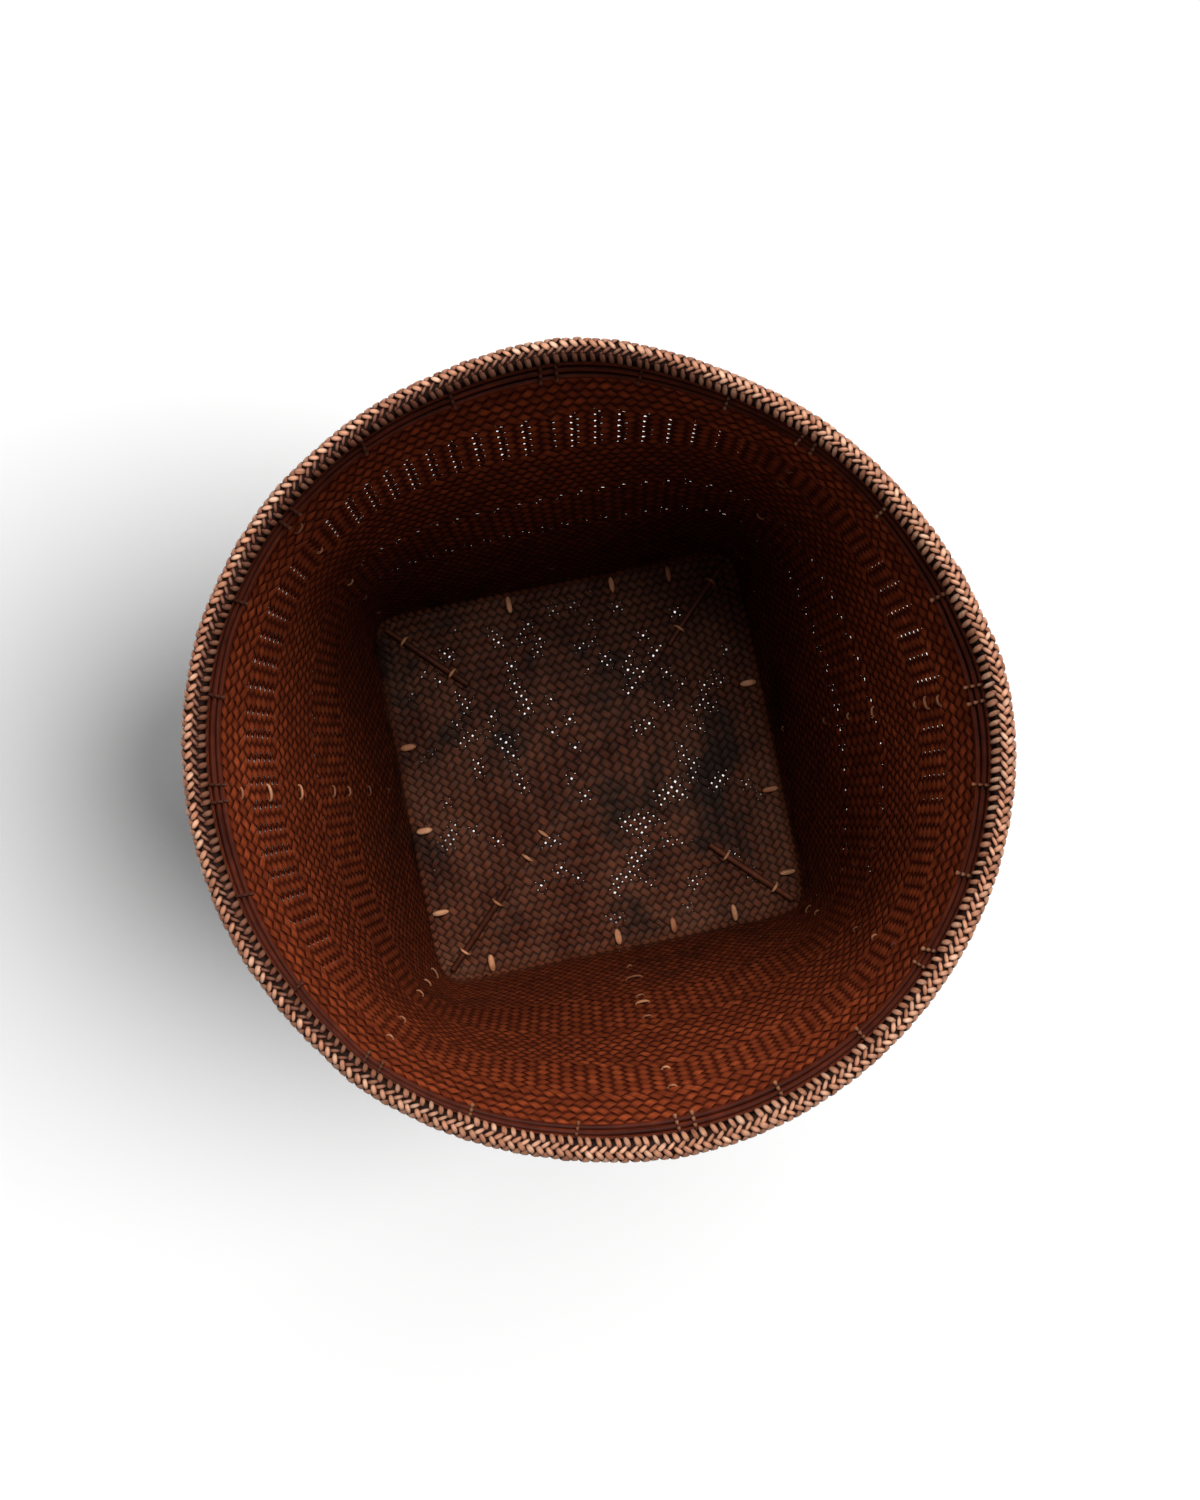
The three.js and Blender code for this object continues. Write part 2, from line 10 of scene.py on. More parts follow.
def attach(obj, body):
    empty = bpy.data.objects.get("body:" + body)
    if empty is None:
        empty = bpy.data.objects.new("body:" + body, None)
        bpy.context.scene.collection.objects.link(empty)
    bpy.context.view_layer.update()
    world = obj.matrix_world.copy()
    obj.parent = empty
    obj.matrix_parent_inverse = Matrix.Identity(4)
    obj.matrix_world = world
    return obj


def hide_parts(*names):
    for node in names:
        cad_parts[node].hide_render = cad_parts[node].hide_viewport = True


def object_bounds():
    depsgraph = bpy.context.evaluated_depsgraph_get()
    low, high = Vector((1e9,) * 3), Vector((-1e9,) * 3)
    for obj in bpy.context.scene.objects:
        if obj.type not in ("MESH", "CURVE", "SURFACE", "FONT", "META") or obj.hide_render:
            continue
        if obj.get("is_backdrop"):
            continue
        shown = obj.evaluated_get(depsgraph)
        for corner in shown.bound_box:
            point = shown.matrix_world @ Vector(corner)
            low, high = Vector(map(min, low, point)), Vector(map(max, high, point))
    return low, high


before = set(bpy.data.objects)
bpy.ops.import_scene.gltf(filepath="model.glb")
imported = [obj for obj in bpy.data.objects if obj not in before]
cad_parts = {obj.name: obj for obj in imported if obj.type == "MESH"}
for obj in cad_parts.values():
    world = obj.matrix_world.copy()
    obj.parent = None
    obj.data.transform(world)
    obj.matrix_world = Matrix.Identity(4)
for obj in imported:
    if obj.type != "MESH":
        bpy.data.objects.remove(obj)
cad_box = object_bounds()

MM = 0.001
UP = np.array([0.0, 0.0, 1.0])
RANDOM = np.random.default_rng(41)

# Wall: a square foot with round corners that widens to a round mouth
FOOT_HEIGHT = 13.3 * MM
WALL_TOP = 298.3 * MM
BASE_HALF_SIDE = 130 * MM
BASE_HALF_DIAGONAL = 175.6 * MM
SKIN_TOP_RADIUS = 186.4 * MM
FLARE = 1.15
RIM_DENT = 7 * MM
RIM_DENT_ANGLE = radians(40.5)
RIM_DENT_SPREAD = radians(32)
RIM_DENT_RISE = 2
RIM_DENT_STEEPNESS = 4
# How far the rim stands outside the smooth round: degrees round the basket, millimetres
RIM_SWELLS = {
    0: 2.4, 7: 0.9, 13: 1.7, 24: 1.7, 48: 1.3, 72: 0.7, 84: 1.1, 96: -0.6, 102: -1.2, 114: -0.6,
    126: 0.2, 132: 1.1, 144: 1.3, 153: 2.0, 162: 1.6, 180: 0.9, 192: 0.4, 207: -0.7, 216: -0.7,
    222: 0.6, 240: -0.4, 252: -0.5, 264: 0.8, 270: 1.9, 282: 2.4, 294: 2.6, 312: 2.6, 324: 3.0,
    336: 3.3, 348: 3.3,
}
SWELL_RISE = 6
WALL_THICKNESS = 2 * MM
BASE_ROUNDING = 6 * MM
BASE_UNDERSIDE = 7.3 * MM
SEAT_GAP = 0.3 * MM

# Plait, in units of half a strand pitch along the base and of one crossing up the wall
SIDE_UNITS = 86
TURN_UNITS = 4 * SIDE_UNITS
HALF_SIDE = SIDE_UNITS // 2
ROUNDING_UNITS = 3
TWILL = 4
# Each band from the foot up: how its floats lie, its crossings, its first row of twill, its holes
BANDS = (
    ("rows", 40, 2, "none"),
    ("columns", 14, 0, "at the ends"),
    ("rows", 18, 0, "none"),
    ("columns", 12, 0, "in lines"),
    ("rows", 16, 0, "none"),
)
# Where one band meets the next: degrees round the basket, millimetres up from the floor
BAND_EDGES = {
    0: (128, 180, 227, 252), 13: (124, 175, 223, 250), 30: (108, 160, 216, 245),
    46: (94, 148, 210, 240), 60: (104, 156, 206, 240), 80: (107, 155, 206, 243),
    104: (104, 152, 205, 242), 130: (94, 146, 197, 238), 145: (102, 147, 200, 240),
    155: (110, 154, 206, 243), 165: (115, 162, 213, 248), 180: (122, 168, 216, 250),
    190: (123, 165, 212, 248), 198: (118, 155, 203, 242), 206: (106, 144, 194, 234),
    214: (96, 132, 181, 226), 228: (86, 127, 174, 218), 240: (92, 137, 181, 222),
    250: (100, 152, 189, 231), 260: (106, 163, 205, 241), 270: (110, 164, 217, 248),
    285: (112, 161, 214, 247), 300: (98, 147, 207, 242), 315: (88, 139, 202, 233),
    328: (96, 153, 208, 236), 338: (112, 171, 212, 243), 350: (122, 181, 221, 249),
}
# How far the columns stray round the wall: place along the foot, stray in the upper part
STRAY_COLUMNS = {
    44: -0.7, 52: -1.1, 72: -1, 80: -0.2, 88: 1.7, 100: 2.4, 112: 2.9, 124: 2.4, 140: 2.2, 148: 1.7,
    160: 0.7, 164: 0.9, 172: 2.5, 196: 2.8, 204: 2.1, 212: 1.4, 220: 0.6, 228: -0.2, 260: 0.2,
    284: -0.6, 312: -0.2, 336: -0.5, 344: 0.2, 352: 1.1, 364: 1.1, 376: 0.3,
}
STRAY_SHARE = 0.75
CROSSING_LIFT = 0.5 * MM
FLOAT_CREST = 1.3
# On the base the painted shade at the dives reaches less far along the floats
FLAT_CREST = 1.25
STRAND_HALF_THICKNESS = 0.33 * MM
STRAND_SPREAD = 0.02
STRAND_WOBBLE = 0.04
# Widths as shares of the pitch between strands, and how much they differ
STRAND_FILL = 1.05
FOLD_FILL = 1.25
FOLD_UNITS = 2
EDGE_FILL = 1.1
EDGE_UNITS = 6
COLUMN_FILL = 1.2
# Widths by place in the twill. The least makes a line of holes
HOLE_FILLS = (0.64, 1.07, 1.2, 1.07)
HOLE_SPREAD = 0.07
HOLE_LEVEL = 0.78
END_HOLE_FILL = 0.66
END_HOLE_UNITS = 2
# Where the holes close up: degrees round the basket, how much wider the strands are
CLOSED_HOLES = {
    0: 0.05, 10: 0.02, 37: 0.15, 60: 0, 110: 0.08, 130: 0.05, 150: -0.03, 190: -0.03, 205: 0.1,
    215: 0.5, 320: 0.5, 330: 0.25, 345: 0.18, 355: 0.12,
}
BASE_FILL = 1.1
BASE_SPREAD = 0.02
BASE_LOOSENESS = 0.12
# In a loose spot this share of the cells are open, and the strands round them are narrower
OPEN_SHARE = 0.08
OPEN_DROP = 0.3
OPEN_DROP_SPREAD = 0.3
LOOSE_ELSEWHERE = 0.2
LOOSE_REACH = 1.45
# Loose spots of the base in millimetres: their middles and reach
LOOSE_SPOTS = (
    (-36, 88, 27), (26, 75, 15), (-96, 64, 15), (-58, 28, 21), (-14, 41, 6), (-105, 22, 10),
    (-37, -6, 8), (36, -43, 27), (-19, -53, 21), (20, -78, 12), (67, -92, 14), (99, -68, 21),
    (75, -19, 10), (60, 20, 30), (-110, -30, 22), (0, 112, 12), (-70, 104, 14),
)


def angle_between(angle, other):
    """Signed difference of two angles."""
    return (angle - other + pi) % (2 * pi) - pi


def at_angle(table, angle, scale=1.0):
    """The columns of a table at an angle. Its keys are degrees round the basket."""
    places = np.radians([*table])
    columns = np.array([*table.values()], float).T * scale
    return [np.interp(angle, places, column, period=2 * pi) for column in np.atleast_2d(columns)]


def skin_radius(angle, height):
    share = np.clip((height - FOOT_HEIGHT) / (WALL_TOP - FOOT_HEIGHT), 0, 1)
    side = BASE_HALF_SIDE + (SKIN_TOP_RADIUS - BASE_HALF_SIDE) * share**FLARE
    corner = BASE_HALF_DIAGONAL + (SKIN_TOP_RADIUS - BASE_HALF_DIAGONAL) * share
    power = 1 / (0.5 - np.log2(np.maximum(corner / side, 1)))
    reach = (np.abs(np.cos(angle)) ** power + np.abs(np.sin(angle)) ** power) ** (1 / power)
    away = angle_between(angle, RIM_DENT_ANGLE)
    hollow = np.exp(-((away / RIM_DENT_SPREAD) ** RIM_DENT_STEEPNESS))
    dent = RIM_DENT * share**RIM_DENT_RISE * hollow
    return side / reach - dent + at_angle(RIM_SWELLS, angle, MM)[0] * share**SWELL_RISE


def on_wall(angle, height, out=0.0):
    """Points at a distance outside the wall's outer skin."""
    radius = skin_radius(angle, height) + out
    return np.stack(np.broadcast_arrays(radius * np.cos(angle), radius * np.sin(angle), height), -1)


def unit(vectors):
    return vectors / np.maximum(np.linalg.norm(vectors, axis=-1, keepdims=True), 1e-12)


def smoothstep(low, high, value):
    share = np.clip((value - low) / (high - low), 0, 1)
    return share * share * (3 - 2 * share)


# Meshes

ROUND_SECTION = [(cos(turn), sin(turn)) for turn in np.arange(8) * pi / 4]
STRAND_SECTION = [
    (-1, 0), (-0.8, 0.75), (-0.4, 1), (0.4, 1), (0.8, 0.75), (1, 0), (0.6, -0.9), (-0.6, -0.9),
]
RIBBON_SECTION = [
    (-1, 0), (-0.75, 0.65), (0, 1), (0.75, 0.65), (1, 0), (0.5, -0.7), (-0.5, -0.7),
]
CANE_SECTION = [
    (-1, -0.25), (-0.86, 0.4), (-0.45, 0.88), (0, 1), (0.45, 0.88), (0.86, 0.4), (1, -0.25),
    (0.7, -1), (-0.7, -1),
]
BAR_SECTION = [
    (-1, -0.7), (-1, 0.7), (-0.75, 0.97), (0, 1), (0.75, 0.97), (1, 0.7), (1, -0.7),
    (0.75, -0.97), (-0.75, -0.97),
]


def along_path(points, closed=False):
    if closed:
        return unit(np.roll(points, -1, 0) - np.roll(points, 1, 0))
    return unit(np.gradient(points, axis=0))


class Strips:
    """Swept strips and cords that become one piece."""

    def __init__(self, section):
        self.section = np.array(section, float)
        self.rings = []
        self.closed = []
        self.facts = []

    def add(self, points, ups, half_width, half_height, closed=False, tone=0.5, shade=1.0):
        """A strip along points, with the top of its section towards ups."""
        forward = along_path(points, closed)
        side = unit(np.cross(forward, ups))
        up = np.cross(side, forward)
        count = len(points)
        wide = np.broadcast_to(half_width, count)[:, None, None]
        high = np.broadcast_to(half_height, count)[:, None, None]
        across, above = self.section.T
        ring = points[:, None] + side[:, None] * across[:, None] * wide
        self.rings.append(ring + up[:, None] * above[:, None] * high)
        steps = np.diff(points, axis=0, prepend=points[:1])
        length = np.cumsum(np.linalg.norm(steps, axis=1))[:, None]
        shades = np.broadcast_to(shade, count)[:, None]
        self.facts.append(np.stack(np.broadcast_arrays(length, across, tone, shades), -1))
        self.closed.append(closed)

    def faces(self):
        sides = len(self.section)
        faces = []
        start = 0
        for ring, closed in zip(self.rings, self.closed):
            count = len(ring)
            end = start + count * sides
            step = np.arange(count if closed else count - 1)[:, None]
            here = start + step * sides
            ahead = start + (step + 1) % count * sides
            turn = np.arange(sides)
            beside = (turn + 1) % sides
            quads = [here + turn, ahead + turn, ahead + beside, here + beside]
            faces += np.stack(quads, -1).reshape(-1, 4).tolist()
            if not closed:
                faces.append(list(range(start, start + sides)))
                faces.append(list(range(end - 1, end - sides - 1, -1)))
            start = end
        return faces

    def piece(self, name, node, slot, wood=None, smooth=True):
        """Builds the piece that replaces a node, of its slot's wood or another."""
        points = np.concatenate([ring.reshape(-1, 3) for ring in self.rings])
        facts = np.concatenate([fact.reshape(-1, 4) for fact in self.facts])
        mesh = bpy.data.meshes.new(name)
        mesh.from_pydata(points, [], self.faces())
        mesh.validate()
        mesh.update()
        strand = mesh.attributes.new("strand", "FLOAT_COLOR", "POINT")
        strand.data.foreach_set("color", facts.ravel())
        mesh.polygons.foreach_set("use_smooth", [smooth] * len(mesh.polygons))
        self.lay_out(mesh)
        mesh.materials.append(woods[wood or slot])
        piece = put(name, mesh)
        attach(piece, "root")
        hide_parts(node)

    def lay_out(self, mesh):
        """A UV map with one row for each strip."""
        sides = len(self.section)
        layout = []
        for row, ring in enumerate(self.rings):
            u = np.arange(len(ring))[:, None] / len(ring)
            v = (row + np.arange(sides) / (sides + 1)) / len(self.rings)
            layout.append(np.stack(np.broadcast_arrays(u, v), -1).reshape(-1, 2))
        layout = np.concatenate(layout)
        corners = np.zeros(len(mesh.loops), int)
        mesh.loops.foreach_get("vertex_index", corners)
        mesh.uv_layers.new(name="OFBake").data.foreach_set("uv", layout[corners].ravel())


def put(name, data):
    """A new object of the scene."""
    thing = bpy.data.objects.new(name, data)
    bpy.context.scene.collection.objects.link(thing)
    return thing


def smooth_loop(corners, steps):
    """A closed Catmull-Rom curve through the corners."""
    corners = np.array(corners, float)
    before = np.roll(corners, 1, 0)
    after = np.roll(corners, -1, 0)
    beyond = np.roll(corners, -2, 0)
    t = (np.arange(steps) / steps)[None, :, None]
    curve = 2 * corners[:, None] + (after - before)[:, None] * t
    curve = curve + (2 * before - 5 * corners + 4 * after - beyond)[:, None] * t**2
    curve = curve + (3 * corners - before - 3 * after + beyond)[:, None] * t**3
    return (curve / 2).reshape(-1, corners.shape[1])


# Materials


class Graph:
    """A material's node tree, built a node at a time."""

    def __init__(self, name):
        self.material = bpy.data.materials.new(name)
        self.material.use_nodes = True
        self.tree = self.material.node_tree
        self.shader = self.tree.nodes["Principled BSDF"]

    def feed(self, node, inputs):
        """Joins a node's inputs to other nodes' outputs, or sets their values."""
        for key, value in inputs.items():
            if isinstance(value, bpy.types.NodeSocket):
                self.tree.links.new(value, node.inputs[key])
            else:
                node.inputs[key].default_value = value

    def add(self, kind, inputs, **settings):
        node = self.tree.nodes.new(f"ShaderNode{kind}")
        for key, value in settings.items():
            setattr(node, key, value)
        self.feed(node, inputs)
        return node

    def math(self, operation, a, b=0.0, c=0.0):
        return self.add("Math", {0: a, 1: b, 2: c}, operation=operation).outputs[0]

    def times(self, a, b):
        return self.math("MULTIPLY", a, b)

    def parts(self, vector):
        return self.add("SeparateXYZ", {0: vector}).outputs

    def span(self, value, low, high, start=0.0, end=1.0):
        inputs = {"Value": value, "From Min": low, "From Max": high, "To Min": start, "To Max": end}
        return self.add("MapRange", inputs, clamp=True).outputs[0]

    def noise(self, place, scale, detail=3.0, roughness=0.6):
        inputs = {"Vector": place, "Scale": scale, "Detail": detail, "Roughness": roughness}
        return self.add("TexNoise", inputs).outputs["Fac"]

    def blend(self, share, a, b, kind="MIX"):
        inputs = {0: share, 6: a, 7: b}
        return self.add("Mix", inputs, data_type="RGBA", blend_type=kind).outputs[2]

    def ramp(self, value, *stops):
        node = self.add("ValToRGB", {0: value})
        elements = node.color_ramp.elements
        while len(elements) < len(stops):
            elements.new(0.5)
        for element, (place, color) in zip(elements, stops):
            element.position = place
            element.color = (*color, 1)
        return node.outputs[0]

    def dim(self, color, level):
        grey = self.add("CombineColor", {0: level, 1: level, 2: level}).outputs[0]
        return self.blend(1.0, color, grey, "MULTIPLY")

    def shine(self, color, roughness, height, depth, gleam):
        bump = self.add("Bump", {"Height": height, "Distance": depth, "Strength": 1.0})
        looks = {"Base Color": color, "Roughness": roughness, "Normal": bump.outputs[0]}
        self.feed(self.shader, {**looks, "Specular IOR Level": gleam})
        return self.material


# Dust on the base, which ends raggedly on the wall, and painted shade on the wall, deepest at the foot
DUST_LEVEL = 0.009
DUST_END = 0.01
DUST_RAGS = 0.03
DUST_DARK = (0.045, 0.019, 0.01)
DUST_LIGHT = (0.22, 0.1, 0.055)
DUST_SHARE = 0.7
FOOT_SHADE_HEIGHTS = (0.04, 0.29)
FOOT_SHADE_RISE = 1.7
# How much painted light the foot of the wall and the base get, from the front to further back
FOOT_PAINTED_LIGHT = (-0.14, -0.02, 0.36, 0.2)
BASE_PAINTED_LIGHT = (-0.13, 0.08, 0.62, 0.42)
STAIN_HEIGHTS = (0.02, 0.12)
STAIN_COLOR = (0.012, 0.01, 0.008, 1)


def dust_and_painted_shade(graph, place, color, shade_and_wear):
    """Painted shade on the plait and base, deepest at the foot and the back; dust and black stains on
    the base.
    """
    _, depth, height = graph.parts(place)
    end = graph.math("MULTIPLY_ADD", graph.noise(place, 60.0), DUST_RAGS, DUST_END)
    dusty = graph.span(height, DUST_LEVEL, end, 1.0, 0.0)
    dust = graph.ramp(graph.noise(place, 22.0, 4.0, 0.7), (0.35, DUST_DARK), (0.68, DUST_LIGHT))
    # The painted shade of the floats shows through the dust
    dust = graph.dim(dust, graph.span(shade_and_wear, 0.0, 1.0, 0.45, 1.1))
    color = graph.blend(graph.times(dusty, DUST_SHARE), color, dust)
    # Painted shade, deepest at the foot of the wall and lighter at the front
    rise = graph.math("POWER", graph.span(height, *FOOT_SHADE_HEIGHTS), FOOT_SHADE_RISE)
    inputs = {"Value": rise, "To Min": graph.span(depth, *FOOT_PAINTED_LIGHT), "To Max": 1.0}
    level = graph.add("MapRange", inputs).outputs[0]
    # Painted light on the base, lighter at the front, with the painted shadow of the back wall further
    # back
    level = graph.math("MAXIMUM", level, graph.times(dusty, graph.span(depth, *BASE_PAINTED_LIGHT)))
    stain = graph.span(graph.noise(place, 17.0, 4.0, 0.62), 0.52, 0.66, 0.0, 0.8)
    stain = graph.times(stain, graph.span(height, *STAIN_HEIGHTS, 1.0, 0.0))
    color = graph.blend(stain, color, STAIN_COLOR)
    return graph.dim(color, level)


# Noise on a strand: its scale along and across, its detail and its roughness
FIBRE = (45.0, 4.0, 4.0, 0.65)
DYE = (30.0, 0.5, 2.0, 0.5)
WEAR = (170.0, 0.0, 1.0, 0.5)
SPOT_SCALE = 30.0
FIBRE_DEPTH = 0.12 * MM
# From where to where a strand's painted shade fades towards its crests
CREST_SHADE_SPAN = (0.2, 0.9)
PLAIT_CREST_SHADE_SPAN = (0.42, 0.97)


def strand_noise(graph, strand, number, along, across, detail, roughness):
    """Noise that runs with a strand and differs from one strand to the next."""
    inputs = {0: graph.times(strand[0], along), 1: graph.times(strand[1], across), 2: number}
    place = graph.add("CombineXYZ", inputs).outputs[0]
    return graph.noise(place, 1.0, detail, roughness)


def split_cane(wood, gloss, gleam, *colors):
    """Split bamboo or rattan: fibres along the strand, uneven dye, wear, painted shade at edges and
    dives.
    """
    graph = Graph(f"{wood}_wood")
    gap_shade, dark, middle, light = np.array(colors) / 1000
    fact = graph.add("Attribute", {}, attribute_name="strand", attribute_type="GEOMETRY")
    strand = graph.parts(fact.outputs["Vector"])
    across = strand[1]
    tone = strand[2]
    number = graph.times(tone, 613.0)
    fibre = strand_noise(graph, strand, number, *FIBRE)
    dye = strand_noise(graph, strand, number, *DYE)
    place = graph.add("TexCoord", {}).outputs["Object"]
    mixed = graph.math("ADD", graph.times(fibre, 0.4), graph.times(dye, 0.3))
    mixed = graph.math("ADD", mixed, graph.times(graph.noise(place, SPOT_SCALE), 0.15))
    mixed = graph.math("ADD", mixed, graph.times(tone, 0.15))
    color = graph.ramp(mixed, (0.36, dark), (0.5, middle), (0.66, light))
    edge = graph.math("POWER", graph.math("ABSOLUTE", across), 3.0)
    # Painted shade: the colour goes towards the gap shade where the strand dives and at its edges
    crest = graph.span(fact.outputs["Alpha"], *(PLAIT_CREST_SHADE_SPAN if wood == "plait" else CREST_SHADE_SPAN))
    float_shade = graph.times(crest, graph.span(edge, 0.0, 1.0, 1.0, 0.3))
    wear = graph.span(strand_noise(graph, strand, number, *WEAR), 0.3, 0.7, 0.55, 1.0)
    shade_and_wear = graph.times(float_shade, wear)
    color = graph.blend(shade_and_wear, (*gap_shade, 1), color)
    if wood == "plait":
        color = dust_and_painted_shade(graph, place, color, shade_and_wear)
    rough = graph.span(fibre, 0.3, 0.7, gloss - 0.08, gloss + 0.12)
    return graph.shine(color, rough, fibre, FIBRE_DEPTH, gleam)


# Each wood: its gloss and gleam, then in thousandths its painted shade colour in the gaps and its
# dark, middle and light dye
WOODS = {
    "plait": (0.5, 0.07, (85, 14, 6), (220, 38, 12), (420, 75, 22), (680, 130, 38)),
    "braid": (0.42, 0.2, (100, 30, 16), (440, 170, 90), (770, 360, 210), (970, 630, 430)),
    # Near black: painted shade between the braid's ribbons and behind the inner hoops
    "shade_filler": (0.7, 0.08, (10, 4, 3), (20, 8, 5), (40, 16, 9), (80, 35, 20)),
    "hoop": (0.42, 0.06, (18, 4, 3), (55, 10, 5), (130, 23, 9), (220, 45, 18)),
    "cord": (0.45, 0.2, (50, 12, 6), (340, 110, 45), (620, 260, 120), (880, 460, 250)),
    "frame": (0.4, 0.3, (30, 10, 5), (80, 30, 14), (240, 90, 40), (450, 200, 90)),
    "stick": (0.4, 0.1, (10, 3, 2), (40, 11, 5), (120, 30, 14), (250, 75, 35)),
}
woods = {wood: split_cane(wood, *looks) for wood, looks in WOODS.items()}


# Plait

LEVEL_UNITS = np.cumsum([0] + [band[1] for band in BANDS])
WALL_UNITS = int(LEVEL_UNITS[-1])


def band_index(depth):
    return np.clip(np.searchsorted(LEVEL_UNITS, depth, "right") - 1, 0, len(BANDS) - 1)


def band_of(depth):
    """The band of a whole crossing up the wall, and the crossing's step in the band."""
    index = band_index(depth)
    return BANDS[index], depth - LEVEL_UNITS[index]


def wall_height(depth, angle):
    """Height of a crossing, between the edges of its band."""
    depth, angle = np.broadcast_arrays(depth, angle)
    edges = at_angle(BAND_EDGES, angle, MM)
    heights = np.stack([np.full(angle.shape, FOOT_HEIGHT), *edges, np.full(angle.shape, WALL_TOP)])
    band = band_index(depth)
    share = (depth - LEVEL_UNITS[band]) / (LEVEL_UNITS[band + 1] - LEVEL_UNITS[band])
    low = np.take_along_axis(heights, band[None], 0)[0]
    high = np.take_along_axis(heights, band[None] + 1, 0)[0]
    return low + (high - low) * share


def stray(place, share):
    """How far a column has strayed from its place along the foot."""
    far = np.interp(place, [*STRAY_COLUMNS], [*STRAY_COLUMNS.values()], period=TURN_UNITS)
    return far * smoothstep(0, STRAY_SHARE, share)


def turn_angle(place, share):
    """Angle of a place: evenly spread along the square foot, evenly turned at the mouth."""
    sector = np.floor(place / SIDE_UNITS)
    across = 2 * (place / SIDE_UNITS - sector) - 1
    square = np.arctan(across)
    round_ = pi / 4 * across
    return sector * pi / 2 + square * (1 - share) + round_ * share


def on_plait(place, depth):
    """Points in the middle of the wall, in plait units."""
    share = np.clip(depth / WALL_UNITS, 0, 1)
    angle = turn_angle(place + stray(place, share), share)
    return on_wall(angle, wall_height(depth, angle), -WALL_THICKNESS / 2)


BASE_BEND = BASE_ROUNDING - WALL_THICKNESS / 2
BASE_MIDDLE = BASE_UNDERSIDE + WALL_THICKNESS / 2
CORNER_PULL = 6


def base_spread(ring):
    """Distance of a ring of crossings from the middle, wider spaced inside, and its curl up."""
    flat_end = HALF_SIDE - ROUNDING_UNITS
    flat_half = BASE_HALF_SIDE - BASE_ROUNDING
    loose = flat_half / flat_end * ring * (1 + BASE_LOOSENESS * (1 - ring / flat_end))
    curl = np.clip((ring - flat_end) / ROUNDING_UNITS, 0, 1) * pi / 2
    return np.where(ring <= flat_end, loose, flat_half + BASE_BEND * np.sin(curl)), curl


def on_base(x, y):
    """Points in the middle of the base, in plait units, and the inward normals there."""
    ring = np.maximum(np.abs(x), np.abs(y))
    spread, curl = base_spread(ring)
    scale = spread / np.maximum(ring, 1e-6)
    angle = np.arctan2(y, x)
    square = BASE_HALF_SIDE / np.maximum(np.abs(np.cos(angle)), np.abs(np.sin(angle)))
    pull = 1 + (skin_radius(angle, FOOT_HEIGHT) / square - 1) * (ring / HALF_SIDE) ** CORNER_PULL
    height = BASE_MIDDLE + BASE_BEND * (1 - np.cos(curl))
    away = np.sin(curl)
    inward = np.stack([-np.cos(angle) * away, -np.sin(angle) * away, np.cos(curl)], -1)
    return np.stack([x * scale * pull, y * scale * pull, height], -1), inward


def side_on_wall(place, depth, lean):
    """1 where the strand with this lean lies inside at a crossing, else -1."""
    (kind, _, phase, _), step = band_of(depth)
    line = step + phase if kind == "rows" else place
    return 1 if (line % TWILL in (0, 1)) == (lean > 0) else -1


def base_sector(x, y):
    """Side of the base that a crossing is nearest to: 0 right, 1 back, 2 left, 3 front."""
    if abs(x) >= abs(y):
        return 0 if x > 0 else 2
    return 1 if y > 0 else 3


def side_on_base(x, y, slope):
    """As side_on_wall, for the base, where the rows of floats run round the middle."""
    row = (HALF_SIDE - max(abs(x), abs(y)) + 1) % TWILL
    rising = slope == (1 if base_sector(x, y) in (0, 2) else -1)
    return 1 if (row in (2, 3)) == rising else -1


def base_strands():
    """The slope of each strand on the base, and its crossings there from edge to edge."""
    for slope in (1, -1):
        for line in range(1 - SIDE_UNITS, SIDE_UNITS, 2):
            x = max(line, 0) - HALF_SIDE
            y = slope * (max(-line, 0) - HALF_SIDE)
            yield slope, [(x + k, y + slope * k) for k in range(SIDE_UNITS - abs(line) + 1)]


def along_side(sector, x, y):
    return (y, -x, -y, x)[sector]


def climb(x, y, step_x, step_y):
    """The crossings of a strand from the edge of the base to the rim, and its lean."""
    sector = base_sector(x, y)
    foot = sector * SIDE_UNITS + along_side(sector, x, y) + HALF_SIDE
    lean = along_side(sector, step_x, step_y)
    return [(foot + lean * depth, depth, lean) for depth in range(1, WALL_UNITS + 1)]


def wall_fill(place, depth):
    """Width of a strand as a share of its pitch."""
    (_, crossings, _, holes), step = band_of(depth)
    if depth < EDGE_UNITS:
        return FOLD_FILL if depth <= FOLD_UNITS else EDGE_FILL
    closed = at_angle(CLOSED_HOLES, turn_angle(place, HOLE_LEVEL))[0]
    if holes == "in lines":
        fill = HOLE_FILLS[place % TWILL] + closed + RANDOM.normal(0, HOLE_SPREAD)
        return min(fill, COLUMN_FILL)
    if holes == "at the ends":
        at_end = place % TWILL == 0 and min(step, crossings - step) <= END_HOLE_UNITS
        return min(END_HOLE_FILL + closed, COLUMN_FILL) if at_end else COLUMN_FILL
    return STRAND_FILL


OPEN_CELLS = RANDOM.random((SIDE_UNITS + 3, SIDE_UNITS + 3))


